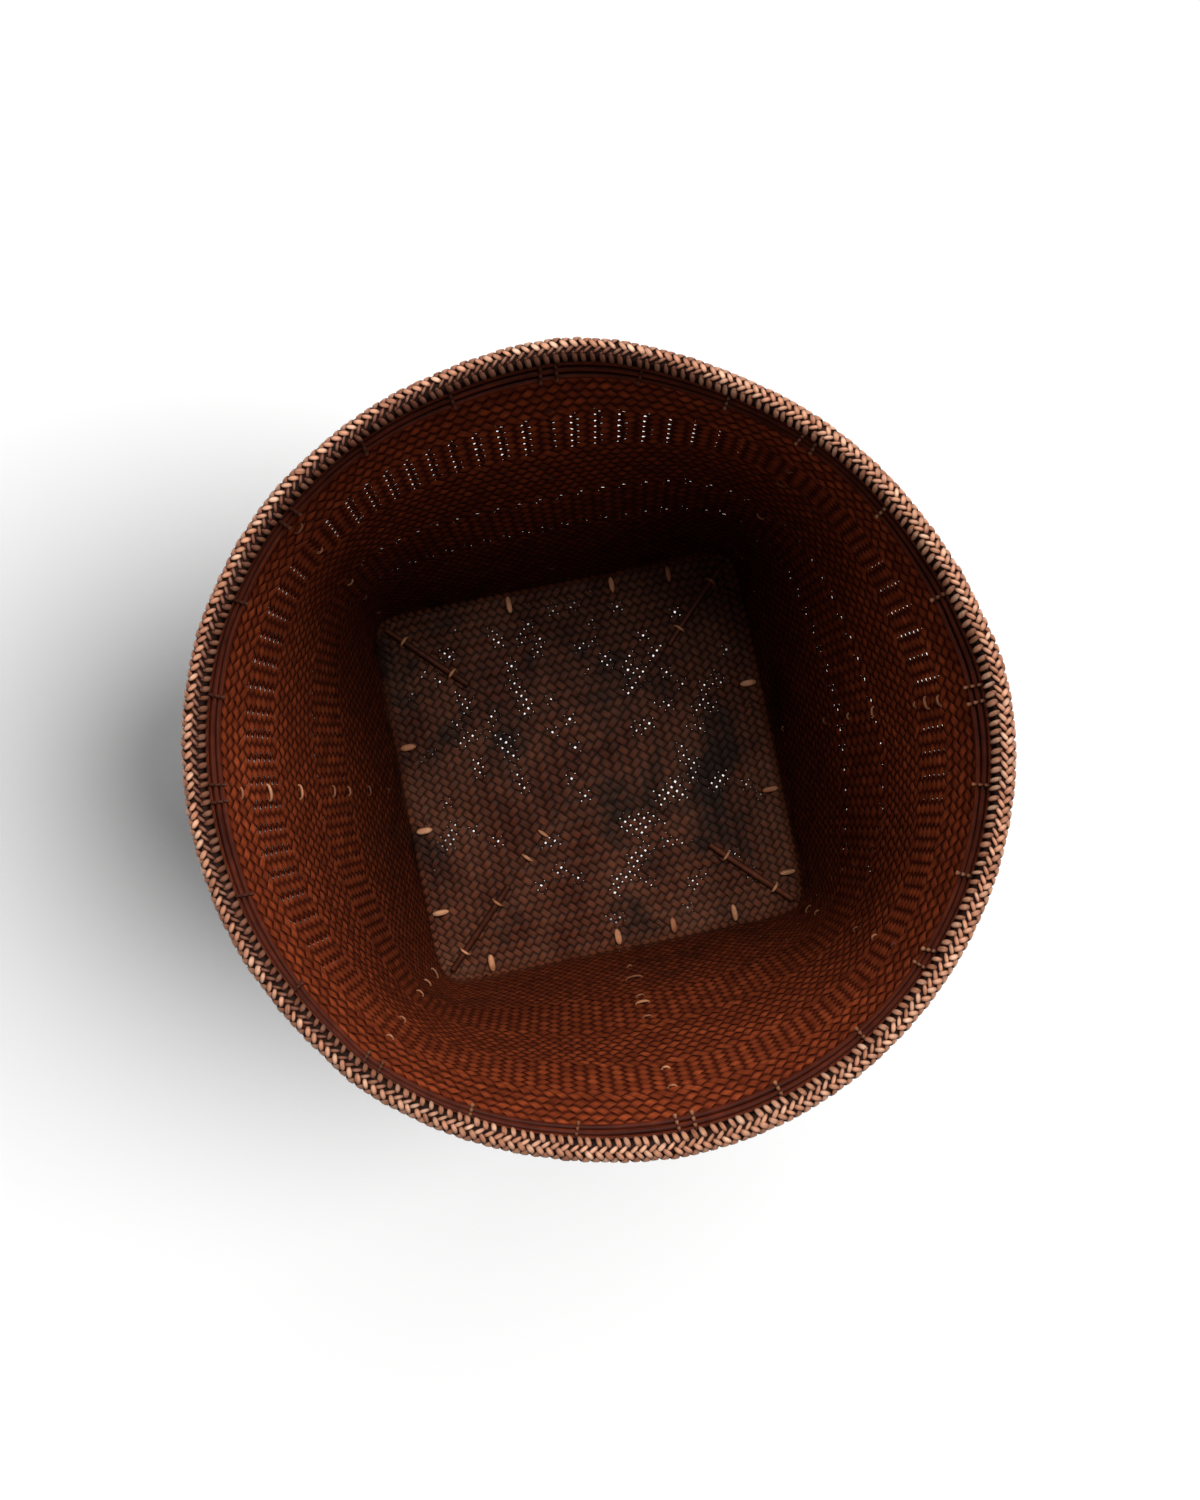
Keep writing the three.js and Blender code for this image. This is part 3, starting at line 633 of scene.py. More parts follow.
def base_fill(x, y):
    """As wall_fill, for the base, open in some spots and tight along its edge."""
    ring = max(abs(x), abs(y))
    if ring > HALF_SIDE - ROUNDING_UNITS - 1:
        return FOLD_FILL if ring >= HALF_SIDE - 1 else EDGE_FILL
    unit_size = BASE_HALF_SIDE / HALF_SIDE / MM
    loose = LOOSE_ELSEWHERE
    for middle_x, middle_y, reach in LOOSE_SPOTS:
        away = hypot(x * unit_size - middle_x, y * unit_size - middle_y) / (reach * LOOSE_REACH)
        loose = max(loose, exp(-(away**4)))
    column = x + HALF_SIDE
    row = y + HALF_SIDE
    cells = ((column, row + 1), (column + 1, row), (column + 1, row + 2), (column + 2, row + 1))
    least = min(OPEN_CELLS[cell] for cell in cells) / OPEN_SHARE
    uneven = 1 + OPEN_DROP_SPREAD - 2 * OPEN_DROP_SPREAD * least
    drop = OPEN_DROP * uneven if least < loose else 0
    return BASE_FILL - drop + RANDOM.normal(0, BASE_SPREAD)


def wall_row(place, depth, lean):
    """A crossing as numbers: on the wall or not, two places, side, width, lean."""
    return 1, place, depth, side_on_wall(place, depth, lean), wall_fill(place, depth), lean


def strand_rows(slope, across):
    """One row for each crossing of a strand, from rim to rim."""
    rows = [wall_row(*crossing) for crossing in reversed(climb(*across[0], -1, -slope))]
    rows += [(0, x, y, side_on_base(x, y, slope), base_fill(x, y), slope) for x, y in across]
    rows += [wall_row(*crossing) for crossing in climb(*across[-1], 1, slope)]
    return np.array(rows, float)


def with_halves(rows):
    """Adds a row between crossings: a dive where the strand changes sides, else a crest."""
    halves = (rows[:-1] + rows[1:]) / 2
    halves[:, 3] *= FLOAT_CREST
    joined = np.flatnonzero(rows[:-1, 0] == rows[1:, 0])
    return np.insert(rows, joined + 1, halves[joined], axis=0)


def cell_pitch(beside, above, lean):
    """Distance between neighbouring strands of one set, from the two sides of a cell."""
    area = np.linalg.norm(np.cross(beside, above), axis=-1)
    return 2 * area / np.linalg.norm(beside * lean[:, None] + above, axis=-1)


def wall_shape(place, depth, lean, wobble):
    """Points of a strand on the wall, the inward normals there and the pitch of its set."""
    low = np.maximum(depth - 0.5, 0)
    high = np.minimum(depth + 0.5, WALL_UNITS)
    beside = on_plait(place + 0.5, depth) - on_plait(place - 0.5, depth)
    above = (on_plait(place, high) - on_plait(place, low)) / (high - low)[:, None]
    points = on_plait(place + wobble, depth)
    return points, unit(np.cross(above, beside)), cell_pitch(beside, above, lean)


def base_shape(x, y, lean, wobble):
    """The same on the base."""
    points, inward = on_base(x + wobble, y)
    beside = on_base(x + 0.5, y)[0] - on_base(x - 0.5, y)[0]
    above = on_base(x, y + 0.5)[0] - on_base(x, y - 0.5)[0]
    return points, inward, cell_pitch(beside, above, lean)


def strand_shape(rows):
    """Points, inward normals, widths and crests along a strand."""
    surface, a, b, side, fill, lean = rows.T
    wobble = RANDOM.normal(0, STRAND_WOBBLE, len(rows))
    points, inward = np.zeros((2, len(rows), 3))
    pitch = np.zeros(len(rows))
    for here, shape in ((surface == 1, wall_shape), (surface == 0, base_shape)):
        points[here], inward[here], pitch[here] = shape(a[here], b[here], lean[here], wobble[here])
    points = points + inward * (side * CROSSING_LIFT)[:, None]
    # How high the strand stands, which sets its painted shade: dark where it dives, light on its crests
    crest = np.abs(side) / FLOAT_CREST
    crest[surface == 0] = np.minimum(crest[surface == 0] * FLAT_CREST, 1)
    return points, inward, pitch * fill, crest


PLAIT_PIECES = 9

# The strands, in several pieces because of their number
strands = list(base_strands())
per_piece = ceil(len(strands) / PLAIT_PIECES)
for index in range(PLAIT_PIECES):
    strips = Strips(STRAND_SECTION)
    for slope, across in strands[index * per_piece:(index + 1) * per_piece]:
        points, inward, width, crest = strand_shape(with_halves(strand_rows(slope, across)))
        tone = RANDOM.random()
        width = width / 2 * RANDOM.normal(1, STRAND_SPREAD)
        strips.add(points, inward, width, STRAND_HALF_THICKNESS, tone=tone, shade=crest)
    strips.piece(f"plait_{index + 1}", "woven_body", "plait")


# Hoops, seen below the braid inside and outside

BRAID_FOOT = 292 * MM
HOOP_HEIGHT = 4 * MM
CANE_HEIGHT = 3.3 * MM
CANE_SWELL = 0.35 * MM
CANE_STEP = 0.75 * MM
CANE_WAVE = 0.2
CANE_WAVES = (3, 4, 5)
# Place and half size of the near-black strip of painted shade behind the inner hoops
SHADOW_STRIP_OUT = -2.6 * MM
SHADOW_STRIP_HALF_SIZE = (6.02 * MM, 0.2 * MM)
HOOP_PITCH = 4.3 * MM
HOOPS_TOP = 291.7 * MM
HOOP_THICKNESS = 2 * MM
OUTER_HOOP_THICKNESS = 2.2 * MM
HOOP_HEIGHTS = [HOOPS_TOP - HOOP_HEIGHT / 2 - order * HOOP_PITCH for order in range(3)]
RING_STEPS = 240
RING = np.arange(RING_STEPS) * 2 * pi / RING_STEPS


def outward(angles):
    """Level directions away from the middle of the basket."""
    return np.stack([np.cos(angles), np.sin(angles), np.zeros_like(angles)], -1)


def hoop(name, node, out, heights, facing, thickness):
    """Half-round canes round the wall, each a little wavy."""
    strips = Strips(CANE_SECTION)
    for height in heights:
        phases = RANDOM.random(4)[1:] * 2 * pi
        wave = sum(np.sin(RING * k + phase) for k, phase in zip(CANE_WAVES, phases)) / len(CANE_WAVES)
        points = on_wall(RING, height + wave * CANE_WAVE * MM, out)
        strips.add(points, facing * outward(RING), CANE_HEIGHT / 2, thickness / 2, True, RANDOM.random())
    strips.piece(name, node, "hoop")


out = -WALL_THICKNESS - SEAT_GAP - HOOP_THICKNESS / 2
thickness = HOOP_THICKNESS + 2 * CANE_SWELL
for order, label in enumerate(("upper", "middle", "lower")):
    node = f"inner_hoop_{label}"
    height = HOOP_HEIGHTS[order]
    hoop(f"{node}_cane", node, out - order * CANE_STEP, [height], -1, thickness)
# Behind them, across the slits, a near-black strip: painted shade in the gaps between the canes
strips = Strips(BAR_SECTION)
points = on_wall(RING, HOOP_HEIGHTS[1], SHADOW_STRIP_OUT)
strips.add(points, -outward(RING), *SHADOW_STRIP_HALF_SIZE, True)
strips.piece("inner_hoop_shadow_strip", "inner_hoop_middle", "hoop", "shade_filler")
out = SEAT_GAP + OUTER_HOOP_THICKNESS / 2
hoop("outer_hoop_canes", "outer_hoop", out, HOOP_HEIGHTS, 1, OUTER_HOOP_THICKNESS)


# Rim braid: rows of short ribbons over a filling coloured near black, as painted shade between them

BRAID_STITCHES = 262
BRAID_MIDDLE = -0.7 * MM
BRAID_HEART = 295.8 * MM
CORE_SECTION = [
    (-4.2, -3.7), (-4.2, 1.4), (-3.3, 2.8), (-1.6, 3.3), (1.4, 3.3), (3.2, 2.5), (4.3, 0.8),
    (4.3, -3.7), (2.8, -3.7), (2.8, 2.4), (-3.4, 2.4), (-3.4, -3.7),
]
# Each row of ribbons: its path in stitches along, millimetres out and up, its half width and phase,
# then its width and painted shade where the outer row shows, and its painted shade on the other side
BRAID_ROWS = {
    "inner_strokes": (
        [(-0.2, -5.1, 292.5), (-0.1, -5.5, 295.6), (0.02, -5, 298.4), (0.15, -3.7, 299.8)],
        1.4, 0, 0.95, 0.4, 1,
    ),
    "middle_petals": (
        [(0.45, -4.2, 299.5), (0.15, -3.2, 300.1), (-0.15, -2.1, 300.2), (-0.45, -1.1, 299.7)],
        1.05, 0.45, 0.8, 0.35, 1,
    ),
    "outer_petals": (
        [(-0.42, -1.7, 299.7), (-0.15, -0.6, 300.2), (0.12, 0.6, 300.1), (0.35, 1.8, 299.3)],
        1.3, 0, 1, 1, 0.95,
    ),
    "outside_strokes": (
        [(0.45, 1, 299.2), (0.2, 2.4, 299), (-0.05, 3.5, 297.4), (-0.4, 3.8, 292.6)],
        1.8, 0.5, 0.95, 0.6, 0.75,
    ),
}
RIBBON_STEPS = 9
RIBBON_HALF_THICKNESS = 0.55 * MM
RIBBON_TIP = 0.5
RIBBON_TAPER = 0.7
# Painted shade at the ends of each ribbon, where it goes under its neighbours
RIBBON_END_SHADE = 0.3
# How much the ribbons differ along, out and up, and in width
RIBBON_SHIFTS = (0.06, 0.12, 0.08)
RIBBON_SPREAD = 0.08
# Round the back and the left the outer rows are painted light, and the inner ones get painted shade
FAR_MIDDLE = radians(145)
FAR_HALF = radians(85)
FAR_EDGE = radians(15)


def far_share(angle):
    """1 on the side where the outer rows of the braid show, and 0 on the other."""
    away = abs(angle_between(angle, FAR_MIDDLE))
    return 1 - smoothstep(FAR_HALF - FAR_EDGE, FAR_HALF + FAR_EDGE, away)


def braid_row(label, path, half_width, phase, far_width, far_shade, near_shade):
    strips = Strips(RIBBON_SECTION)
    along, out, up = np.array(path, float).T
    steps = np.linspace(0, 1, RIBBON_STEPS)
    knots = np.linspace(0, 1, len(path))
    pitch = 2 * pi / BRAID_STITCHES
    arch = np.sin(pi * steps)
    taper = RIBBON_TIP + (1 - RIBBON_TIP) * arch**RIBBON_TAPER
    # Painted light along each ribbon, falling to painted shade at its ends
    light = RIBBON_END_SHADE + (1 - RIBBON_END_SHADE) * arch
    for number in range(BRAID_STITCHES):
        shift = RANDOM.normal(0, RIBBON_SHIFTS)
        angles = (number + phase + shift[0] + np.interp(steps, knots, along)) * pitch
        outs = (np.interp(steps, knots, out) + shift[1]) * MM
        heights = (np.interp(steps, knots, up) + shift[2]) * MM
        ups = outward(angles) * (outs - BRAID_MIDDLE)[:, None]
        ups = ups + UP * (heights - BRAID_HEART)[:, None]
        far = far_share(number * pitch)
        width = half_width * (1 + (far_width - 1) * far) * taper * RANDOM.normal(1, RIBBON_SPREAD) * MM
        shade = (near_shade + (far_shade - near_shade) * far) * light
        points = on_wall(angles, heights, outs)
        ups = unit(ups)
        strips.add(points, ups, width, RIBBON_HALF_THICKNESS, tone=RANDOM.random(), shade=shade)
    strips.piece(f"rim_{label}", "rim_braid", "braid")


STRIP_THICKNESS = 1.6 * MM
STRIP_SECTION = [(-1, -1), (-1, 1), (1, 1), (1, -1)]


def rim_strip(side, out):
    """A flat strip inside the braid, against the wall."""
    strips = Strips(STRIP_SECTION)
    points = on_wall(RING, (BRAID_FOOT + WALL_TOP) / 2, out)
    half_height = (WALL_TOP - BRAID_FOOT) / 2
    strips.add(points, outward(RING), half_height, STRIP_THICKNESS / 2, True)
    node = f"rim_strip_{side}"
    strips.piece(f"{node}_slat", node, "frame", smooth=False)


rim_strip("outer", SEAT_GAP + STRIP_THICKNESS / 2)
rim_strip("inner", -WALL_THICKNESS - SEAT_GAP - STRIP_THICKNESS / 2)
# A near-black filling under the ribbons: painted shade between them
strips = Strips(CORE_SECTION)
strips.add(on_wall(RING, BRAID_HEART, BRAID_MIDDLE), UP, MM, MM, True)
strips.piece("rim_braid_core", "rim_braid", "braid", "shade_filler")
for label, row in BRAID_ROWS.items():
    braid_row(label, *row)


# Ribs outside, with their stitches

RIB_TOP = 278.5 * MM
RIB_WIDTH = 5.5 * MM
RIB_THICKNESS = 3 * MM
RIB_STAND_OFF = 0.5 * MM
RIB_STEPS = 90
CORD_THICKNESS = 1.5 * MM
CORD_HALF_HEIGHT = CORD_THICKNESS / 2 * 0.85
CORD_STEPS = 4
JOINT_SPACING = 110 * MM
JOINT_REACH = 1.6 * MM
# Angles of foot and head in degrees, then for each stitch its share of the height between them,
# half its length and half its width in millimetres, and its painted shade
RIBS = {
    "right": (-1, -3.7, (
        (0.1, 1, 0.6, 0.3), (0.37, 1.3, 0.8, 0.45), (0.5, 1.4, 0.8, 0.55), (0.62, 2.4, 0.85, 0.8),
        (0.795, 0.9, 0.8, 0.8), (0.84, 3, 1.2, 1), (0.885, 2.3, 0.9, 0.95),
    )),
    "back_right": (43.5, 44.1, (
        (0.1, 1, 0.6, 0.25), (0.28, 1, 0.6, 0.25), (0.45, 2, 0.6, 0.8), (0.72, 2.4, 1, 0.4),
        (0.81, 0.9, 0.6, 0.6),
    )),
    "back": (90, 86.4, (
        (0.12, 1.2, 0.7, 0.2), (0.37, 1.2, 0.7, 0.2), (0.62, 1.2, 0.7, 0.2), (0.88, 1.2, 0.7, 0.2),
    )),
    "back_left": (132.8, 132.3, (
        (0.1, 1, 0.6, 0.25), (0.28, 1, 0.6, 0.25), (0.45, 1.8, 0.8, 0.8), (0.75, 1.4, 0.9, 0.9),
        (0.92, 2.4, 0.9, 0.8),
    )),
    "left": (176.5, 175.8, (
        (0.14, 1, 0.7, 0.3), (0.28, 2.8, 0.8, 0.3), (0.41, 2.4, 0.9, 0.8), (0.5, 3, 0.8, 0.6),
        (0.67, 3.6, 1.2, 0.9), (0.81, 4, 1.6, 1), (0.92, 2.5, 1, 0.95),
    )),
    "front_left": (221.7, 223, (
        (0.1, 3.6, 0.7, 0.6), (0.22, 2.6, 0.8, 0.8), (0.345, 2.2, 0.9, 1), (0.62, 1.7, 1.1, 1),
        (0.785, 1.5, 1.1, 0.9),
    )),
    "front": (269, 271.3, (
        (0.17, 1, 0.6, 0.5), (0.265, 5, 1, 0.6), (0.39, 2.1, 0.7, 0.5), (0.435, 3.9, 1.9, 1),
        (0.52, 2.3, 0.9, 0.8), (0.785, 1.6, 0.8, 0.9), (0.865, 1.8, 0.9, 0.9),
    )),
    "front_right": (314.7, 315.3, (
        (0.11, 2.6, 0.6, 0.6), (0.2, 1.6, 0.6, 0.5), (0.55, 1.2, 0.6, 0.4), (0.69, 1.3, 1.1, 1),
        (0.82, 1, 0.6, 0.3),
    )),
}


def rib_place(foot, head, share):
    angle = np.radians(foot + (head - foot) * share)
    return angle, FOOT_HEIGHT + (RIB_TOP - FOOT_HEIGHT) * share


def wall_axes(angle, height):
    """Origin on the skin, and the directions round, up and out of the wall there."""
    origin = on_wall(angle, height)
    side = unit(on_wall(angle + 0.01, height) - on_wall(angle - 0.01, height))
    slope = on_wall(angle, height + 2 * MM) - origin
    out = unit(np.cross(side, slope))
    return origin, side, np.cross(out, side), out


def joint_bumps(length, spacing=JOINT_SPACING):
    """Swellings of the cane at its joints."""
    start = RANDOM.uniform(0.2, 0.8) * spacing
    joints = np.arange(start, length[-1], spacing)
    return sum((np.exp(-(((length - joint) / JOINT_REACH) ** 2)) for joint in joints), 0 * length)


def rib(name, foot, head):
    strips = Strips(CANE_SECTION)
    angle, height = rib_place(foot, head, np.linspace(0, 1, RIB_STEPS))
    origin, _, _, out = wall_axes(angle, height)
    points = origin + out * (SEAT_GAP + RIB_STAND_OFF + RIB_THICKNESS / 2)
    bumps = joint_bumps(height - height[0])
    wide = RIB_WIDTH / 2 * (1 + 0.1 * bumps)
    thick = RIB_THICKNESS / 2 * (0.92 + 0.25 * bumps)
    strips.add(points, out, wide, thick, tone=RANDOM.random())
    strips.piece(f"{name}_slat", name, "frame")


def cord_loop(strips, corners, normal, widths, shade=1.0, half_height=CORD_HALF_HEIGHT):
    """A closed turn of cord, flat side out, with a half width at each corner."""
    shades = np.broadcast_to(shade, len(corners))
    curve = smooth_loop(np.column_stack([corners, widths, shades]), CORD_STEPS)
    points = curve[:, :3]
    ups = np.cross(normal, along_path(points, True))
    if np.sum(ups * (points - points.mean(0))) < 0:
        ups = -ups
    strips.add(points, unit(ups), curve[:, 3], half_height, True, RANDOM.random(), curve[:, 4])


def cords(node, loops):
    """The piece of a node's cords. Each loop is what cord_loop takes."""
    strips = Strips(ROUND_SECTION)
    for loop in loops:
        cord_loop(strips, *loop)
    strips.piece(f"{node}_cord", node, "cord")


# Round a rib outside: millimetres along and out, and half width
OUTSIDE_STITCH = [(3.8, 1.5, 0.6), (3.2, 4.3, 0.8), (0, 5.0, 0.8), (-3.2, 4.3, 0.8), (-3.8, 1.5, 0.6)]
STITCH_REST = -2.4
STITCH_BULGE = -0.22
STITCH_SLANT = 0.16


def inside_stitch(reach, width):
    """The part inside the basket, widest in the middle."""
    crest = STITCH_REST + STITCH_BULGE * reach
    shoulder = 0.35 * STITCH_REST + 0.65 * crest
    start = -WALL_THICKNESS / MM
    half = [(1, start, 0.4), (0.6, shoulder, 0.85)]
    shape = [(-along, out, wide) for along, out, wide in half] + [(0, crest, 1)] + half[::-1]
    return [(along * reach, out, wide * width) for along, out, wide in shape]


def rib_stitches(foot, head, stitches):
    for share, reach, width, shade in stitches:
        origin, side, up, out = wall_axes(*rib_place(foot, head, share))
        slant = RANDOM.normal(0, STITCH_SLANT)
        path = inside_stitch(reach, width) + OUTSIDE_STITCH
        corners = [origin + side * a * MM + out * b * MM + up * a * slant * MM for a, b, _ in path]
        widths = np.array([wide for _, _, wide in path]) * MM
        yield corners, up, widths, shade


for label, (foot, head, stitches) in RIBS.items():
    rib(f"rib_{label}", foot, head)
    cords(f"lacing_{label}", rib_stitches(foot, head, stitches))


# Hoop ties

# Round the hoops: millimetres out and up, and how far the tie swells there
TIE_PATH = [
    (-4.3, 291.9, 0), (-5.5, 289.9, 0.8), (-4.6, 287.6, 0), (-6.3, 285.6, 0.8), (-5.3, 283.3, 0),
    (-7.1, 281.2, 1), (-5.3, 278.7, 0.2), (-2.4, 277.9, 0), (0.2, 277.9, 0), (2.9, 278.9, 0.2),
    (3.4, 281.1, 0.6), (2.9, 283.2, 0.1), (3.4, 285.4, 0.6), (2.9, 287.5, 0.1), (3.4, 289.7, 0.6),
    (2.9, 291.3, 0.1), (0.5, 291.9, 0), (-2.8, 292.1, 0),
]
TIES_BETWEEN_RIBS = 2
TIE_BESIDE_RIB = 4.15 * MM
TIE_SLANT = 0.08
TIE_MIDDLE = 285
# Half width and painted shade of a tie where it doesn't swell, and what the swell adds
TIE_WIDTHS = (0.45, 0.75)
TIE_SHADES = (0.05, 0.7)
# Painted shade taken off the swells round the back and the left
TIE_FAR_SHADE = 0.45
TIE_SPREAD = (0.85, 1.1)
TIE_HALF_HEIGHT = 0.6 * MM


def tie_angles():
    """One tie on each side of a rib's head, and more between the ribs."""
    heads = sorted(radians(head) % (2 * pi) for _, head, _ in RIBS.values())
    beside = TIE_BESIDE_RIB / SKIN_TOP_RADIUS
    gaps = TIES_BETWEEN_RIBS + 1
    angles = []
    for here, ahead in zip(heads, heads[1:] + [heads[0] + 2 * pi]):
        angles += [here - beside, here + beside]
        angles += [here + (ahead - here) * k / gaps for k in range(1, gaps)]
    return angles


def hoop_ties():
    outs, heights, swells = np.array(TIE_PATH).T
    for angle in tie_angles():
        slant = RANDOM.normal(0, TIE_SLANT)
        turns = angle + (heights - TIE_MIDDLE) * slant * MM / SKIN_TOP_RADIUS
        corners = on_wall(turns, heights * MM, outs * MM)
        normal = np.array([-sin(angle), cos(angle), 0])
        widths = (TIE_WIDTHS[0] + TIE_WIDTHS[1] * swells) * RANDOM.uniform(*TIE_SPREAD) * MM
        shade = TIE_SHADES[0] + (TIE_SHADES[1] - TIE_FAR_SHADE * far_share(angle)) * swells
        yield corners, normal, widths, shade, TIE_HALF_HEIGHT


cords("hoop_ties", hoop_ties())


# Below the base: foot bars, runners and their cords

BAR_HEIGHT = 7 * MM
BAR_WIDTH = 8 * MM
BAR_OUTER_FACE = 124 * MM
BAR_MIDDLE = 120 * MM
LONG_BAR_SETBACK = 6 * MM
# A little less than half the size, which is reached where a joint swells
BAR_HALF_SIZE = (BAR_WIDTH / 2 * 0.95, BAR_HEIGHT / 2 * 0.94)
# Each bar: its direction, whether it is long, and its stitches as shares of the half side
FOOT_BARS = {
    "front": (0, True, (-0.71, -0.03, 0.27, 0.6)),
    "right": (90, False, (-0.77, -0.32, 0.26)),
    "back": (180, True, (-0.62, -0.31, 0.25)),
    "left": (270, False, (-0.28, 0.17, 0.61)),
}
FOOT_STITCH_UNDERSIDE = 2.3 * MM
# From the least to the most, in millimetres
FOOT_STITCH_REACH = (4.3, 5.2)
FOOT_STITCH_WIDTH = (1.9, 2.5)
RUNNER_HALF_WIDTH = 3 * MM
RUNNER_MIDDLE = 5 * MM
RUNNER_HALF_HEIGHT = 2 * MM
RUNNER_HALF_LENGTH = 160.4 * MM
RUNNER_STITCHES = (57 * MM, 77 * MM)
RUNNER_STITCH_SIZE = (3.2, 1.3)
# Where the runners cross, each is cut away on one side
LAP_REACH = 5 * MM
LAP_SHIFT = 1.1 * MM
LAP_DEPTH = 0.55
LAP_STEEPNESS = 6
BAR_STEPS = 80
STICK_RADIUS = 2.15 * MM
STICK_INNER_END = 100 * MM
STICK_OUTER_END = 168.6 * MM
STICK_MIDDLE = 11.5 * MM
STICK_LASHINGS = (0.2, 0.78)
STICK_STEPS = 60
CORNERS = ("back_right", "back_left", "front_left", "front_right")
# Spacing of the joints and how much they swell
BAR_JOINTS = (JOINT_SPACING, 0.06)
STICK_JOINTS = (30 * MM, 0.12)
CORD_HALF_WIDTH = 0.9
CORD_SHOULDER = 8.6
CORD_TURN = 1.2
# A stitch above the base: shares of its reach, heights, shares of its width
SPINDLE = ((-1, 10.3, 0.6), (-0.6, 10.9, 0.95), (0, 11.1, 1), (0.6, 10.9, 0.95), (1, 10.3, 0.6))
# A lashing over a stick: its places, heights and half widths
OVER_STICK = ((-2.9, 12.4, 0.9), (-1.5, 14.1, 1), (1.5, 14.1, 1), (2.9, 12.4, 0.9))


def level_axes(turn):
    """The level direction at this many degrees, and the one a quarter turn on."""
    angle = radians(turn)
    along = np.array([cos(angle), sin(angle), 0])
    return along, np.array([-sin(angle), cos(angle), 0])


def straight_bar(name, section, ends, half_width, half_height, joints, slot):
    strips = Strips(section)
    steps = np.linspace(0, 1, STICK_STEPS)
    start, end = ends
    spacing, swell = joints
    size = 1 + swell * joint_bumps(steps * np.linalg.norm(end - start), spacing)
    points = start + (end - start) * steps[:, None]
    strips.add(points, UP, half_width * size, half_height * size, tone=RANDOM.random())
    strips.piece(f"{name}_wood", name, slot)


def foot_bar(label, turn, long):
    along, inside = level_axes(turn)
    setback = LONG_BAR_SETBACK if long else BAR_WIDTH + SEAT_GAP
    half = along * (BAR_OUTER_FACE - setback)
    middle = UP * BAR_HEIGHT / 2 - inside * BAR_MIDDLE
    ends = (middle - half, middle + half)
    straight_bar(f"foot_bar_{label}", BAR_SECTION, ends, *BAR_HALF_SIZE, BAR_JOINTS, "frame")


def base_loop(middle, across, normal, bar_half, foot, top):
    """A turn of cord round a bar. top lists its places above the base and half widths."""
    half = (bar_half + SEAT_GAP + CORD_THICKNESS / 2) / MM
    low = (foot - SEAT_GAP - CORD_THICKNESS / 2) / MM
    before = ((-half, low + CORD_TURN), (-half, CORD_SHOULDER))
    after = ((half, CORD_SHOULDER), (half, low + CORD_TURN), (half - 1, low), (1 - half, low))
    path = [(*place, CORD_HALF_WIDTH) for place in before]
    path += [*top, *((*place, CORD_HALF_WIDTH) for place in after)]
    corners = [middle + across * a * MM + UP * b * MM for a, b, _ in path]
    return corners, normal, [wide * MM for _, _, wide in path]


def spindle(reach, width):
    """The part of a stitch above the base, widest in the middle."""
    return [(share * reach, height, wide * width) for share, height, wide in SPINDLE]


def foot_stitches(turn, shares):
    along, inside = level_axes(turn)
    for share in shares:
        middle = along * share * BASE_HALF_SIDE - inside * BAR_MIDDLE
        top = spindle(RANDOM.uniform(*FOOT_STITCH_REACH), RANDOM.uniform(*FOOT_STITCH_WIDTH))
        yield base_loop(middle, -inside, along, BAR_WIDTH / 2, FOOT_STITCH_UNDERSIDE, top)


def runner_loop(distance, axes, top):
    along, across = axes
    foot = RUNNER_MIDDLE - RUNNER_HALF_HEIGHT
    return base_loop(along * distance, across, along, RUNNER_HALF_WIDTH, foot, top)


for label, (turn, long, shares) in FOOT_BARS.items():
    foot_bar(label, turn, long)
    cords(f"foot_lacing_{label}", foot_stitches(turn, shares))

# Runners and their cords
for order in range(2):
    name = f"runner_{CORNERS[order + 2]}_to_{CORNERS[order]}"
    along, _ = level_axes(45 + 90 * order)
    strips = Strips(BAR_SECTION)
    lengths = np.linspace(-1, 1, BAR_STEPS) * RUNNER_HALF_LENGTH
    lap = np.exp(-((lengths / LAP_REACH) ** LAP_STEEPNESS))
    shift = (1 - 2 * order) * lap * LAP_SHIFT
    points = along * lengths[:, None] + UP * (RUNNER_MIDDLE + shift)[:, None]
    half_height = RUNNER_HALF_HEIGHT * (1 - LAP_DEPTH * lap)
    strips.add(points, UP, RUNNER_HALF_WIDTH, half_height, tone=RANDOM.random())
    strips.piece(f"{name}_wood", name, "frame")
top = spindle(*RUNNER_STITCH_SIZE)
cords("runner_lacing", [runner_loop(distance, level_axes(225), top) for distance in RUNNER_STITCHES])

# Corner sticks and their lashings
for order, label in enumerate(CORNERS):
    axes = level_axes(45 + 90 * order)
    ends = [axes[0] * end + UP * STICK_MIDDLE for end in (STICK_INNER_END, STICK_OUTER_END)]
    name = f"corner_stick_{label}"
    straight_bar(name, ROUND_SECTION, ends, STICK_RADIUS, STICK_RADIUS, STICK_JOINTS, "stick")
    places = [STICK_INNER_END + share * (STICK_OUTER_END - STICK_INNER_END) for share in STICK_LASHINGS]
    cords(f"stick_lashing_{label}", [runner_loop(place, axes, OVER_STICK) for place in places])


# Floor, camera and light

IMAGE_SIZE = (1200, 1500)
FOCAL_LENGTH = 1242.5
NADIR = (566, 806.5)
CAMERA_ROLL = radians(11.5)
CAMERA_PLACE = np.array([-21.32, -25.07, 869]) * MM
SENSOR = 36.0


def camera_axes():
    """The camera's own axes, from the pixel straight below it."""
    width, height = IMAGE_SIZE
    up = -unit(np.array([NADIR[0] - width / 2, height / 2 - NADIR[1], -FOCAL_LENGTH]))
    right = unit(np.array([1.0, 0, 0]) - up * up[0])
    beyond = np.cross(up, right)
    turn, lift = cos(CAMERA_ROLL), sin(CAMERA_ROLL)
    return np.stack([turn * right + lift * beyond, turn * beyond - lift * right, up])


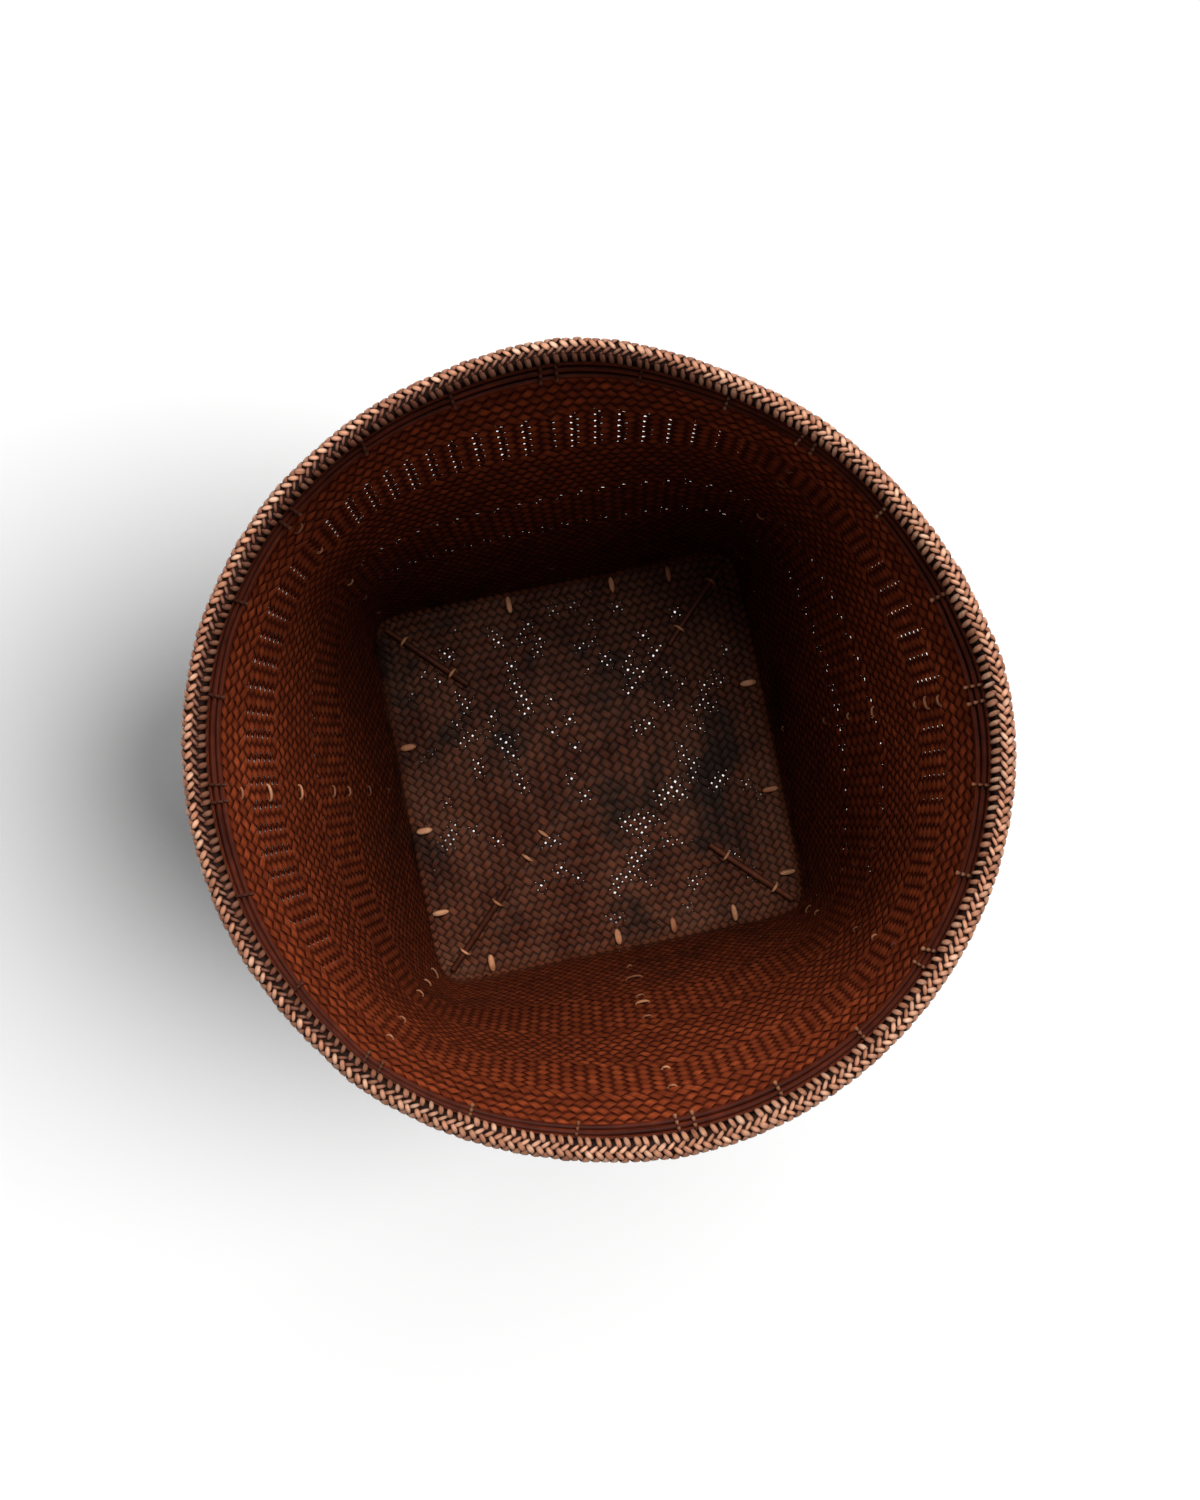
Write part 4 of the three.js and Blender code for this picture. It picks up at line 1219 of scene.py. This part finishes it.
def place_camera():
    data = bpy.data.cameras.new("camera")
    data.sensor_fit = "VERTICAL"
    data.sensor_height = SENSOR
    data.lens = FOCAL_LENGTH / IMAGE_SIZE[1] * SENSOR
    matrix = np.eye(4)
    matrix[:3, :3] = camera_axes()
    matrix[:3, 3] = CAMERA_PLACE
    camera = put("camera", data)
    camera.matrix_world = Matrix(matrix.tolist())
    bpy.context.scene.camera = camera


# The floor shows white through the pinholes of the base, between the foot bars
FLOOR_TONE = 0.28
FLOOR_HALF = 4.0
GLOW_REACH = (0.095, 0.117)
UNDER_BASE_GLOW = 1.0


def floor_glow(graph):
    """Light under the base that is only seen and lights nothing."""
    rays = graph.add("LightPath", {}).outputs
    seen = graph.math("ADD", rays["Is Camera Ray"], rays["Is Glossy Ray"])
    seen = graph.math("MINIMUM", graph.math("ADD", seen, rays["Is Transmission Ray"]), 1.0)
    x, y, _ = graph.parts(graph.add("TexCoord", {}).outputs["Object"])
    reach = graph.math("MAXIMUM", graph.math("ABSOLUTE", x), graph.math("ABSOLUTE", y))
    strength = graph.times(seen, graph.span(reach, *GLOW_REACH, UNDER_BASE_GLOW, 0.0))
    return graph.add("Emission", {"Color": (1, 1, 1, 1), "Strength": strength}).outputs[0]


def floor_material():
    graph = Graph("floor")
    looks = {"Base Color": (FLOOR_TONE, FLOOR_TONE, FLOOR_TONE, 1), "Roughness": 1.0}
    graph.feed(graph.shader, {**looks, "Specular IOR Level": 0.0})
    total = graph.add("AddShader", {0: graph.shader.outputs[0], 1: floor_glow(graph)})
    graph.feed(graph.tree.nodes["Material Output"], {"Surface": total.outputs[0]})
    graph.material.cycles.emission_sampling = "NONE"
    return graph.material


def lay_floor():
    mesh = bpy.data.meshes.new("floor")
    corners = [(x * FLOOR_HALF, y * FLOOR_HALF, 0) for x, y in ((-1, -1), (1, -1), (1, 1), (-1, 1))]
    mesh.from_pydata(corners, [], [(0, 1, 2, 3)])
    mesh.materials.append(floor_material())
    floor = put("floor", mesh)
    floor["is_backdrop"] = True
    return floor


def image_direction(right, up):
    """A level direction, given as it appears in the photograph."""
    axes = camera_axes()
    level = axes[:, 0] * right + axes[:, 1] * up
    return unit(np.array([level[0], level[1], 0]))


WORLD_LEVEL = 0.26
AIM_HEIGHT = 0.15
TOP_LAMP_SIDE = (0.38, 0.92)
TOP_LAMP = {"height": 1.9, "distance": 1.0, "size": 1.6, "power": 54}
FLOOR_SUN_POWER = 12
FLOOR_SUN_HEIGHT = radians(48)
FLOOR_SUN_SPREAD = radians(44)


def lamp(name, kind, power, front, toward):
    """A lamp whose front or back axis points in a direction."""
    data = bpy.data.lights.new(name, kind)
    data.energy = power
    light = put(name, data)
    light.rotation_euler = Vector(toward).to_track_quat(front, "Y").to_euler()
    return light


def top_lamp(height, distance, size, power):
    """A wide lamp above and behind the basket, aimed at its middle."""
    place = image_direction(*TOP_LAMP_SIDE) * distance + UP * height
    light = lamp("top", "AREA", power, "-Z", UP * AIM_HEIGHT - place)
    light.data.shape = "SQUARE"
    light.data.size = size
    light.location = place


def floor_sun(floor):
    """A sun from the right that lights the floor only, for the soft shadow on it."""
    toward = image_direction(1, 0) * cos(FLOOR_SUN_HEIGHT) + UP * sin(FLOOR_SUN_HEIGHT)
    sun = lamp("floor_sun", "SUN", FLOOR_SUN_POWER, "Z", toward)
    sun.data.angle = FLOOR_SUN_SPREAD
    on_floor = bpy.data.collections.new("lit_by_the_floor_sun")
    on_floor.objects.link(floor)
    sun.light_linking.receiver_collection = on_floor


world = bpy.data.worlds.new("world")
world.use_nodes = True
sky = world.node_tree.nodes["Background"].inputs
sky[0].default_value = (1, 1, 1, 1)
sky[1].default_value = WORLD_LEVEL
bpy.context.scene.world = world
place_camera()
top_lamp(**TOP_LAMP)
floor_sun(lay_floor())
bpy.context.scene.view_settings.view_transform = "Standard"

boxes = {"cad": cad_box, "visual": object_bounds()}
{key: [list(corner) for corner in box] for key, box in boxes.items()}
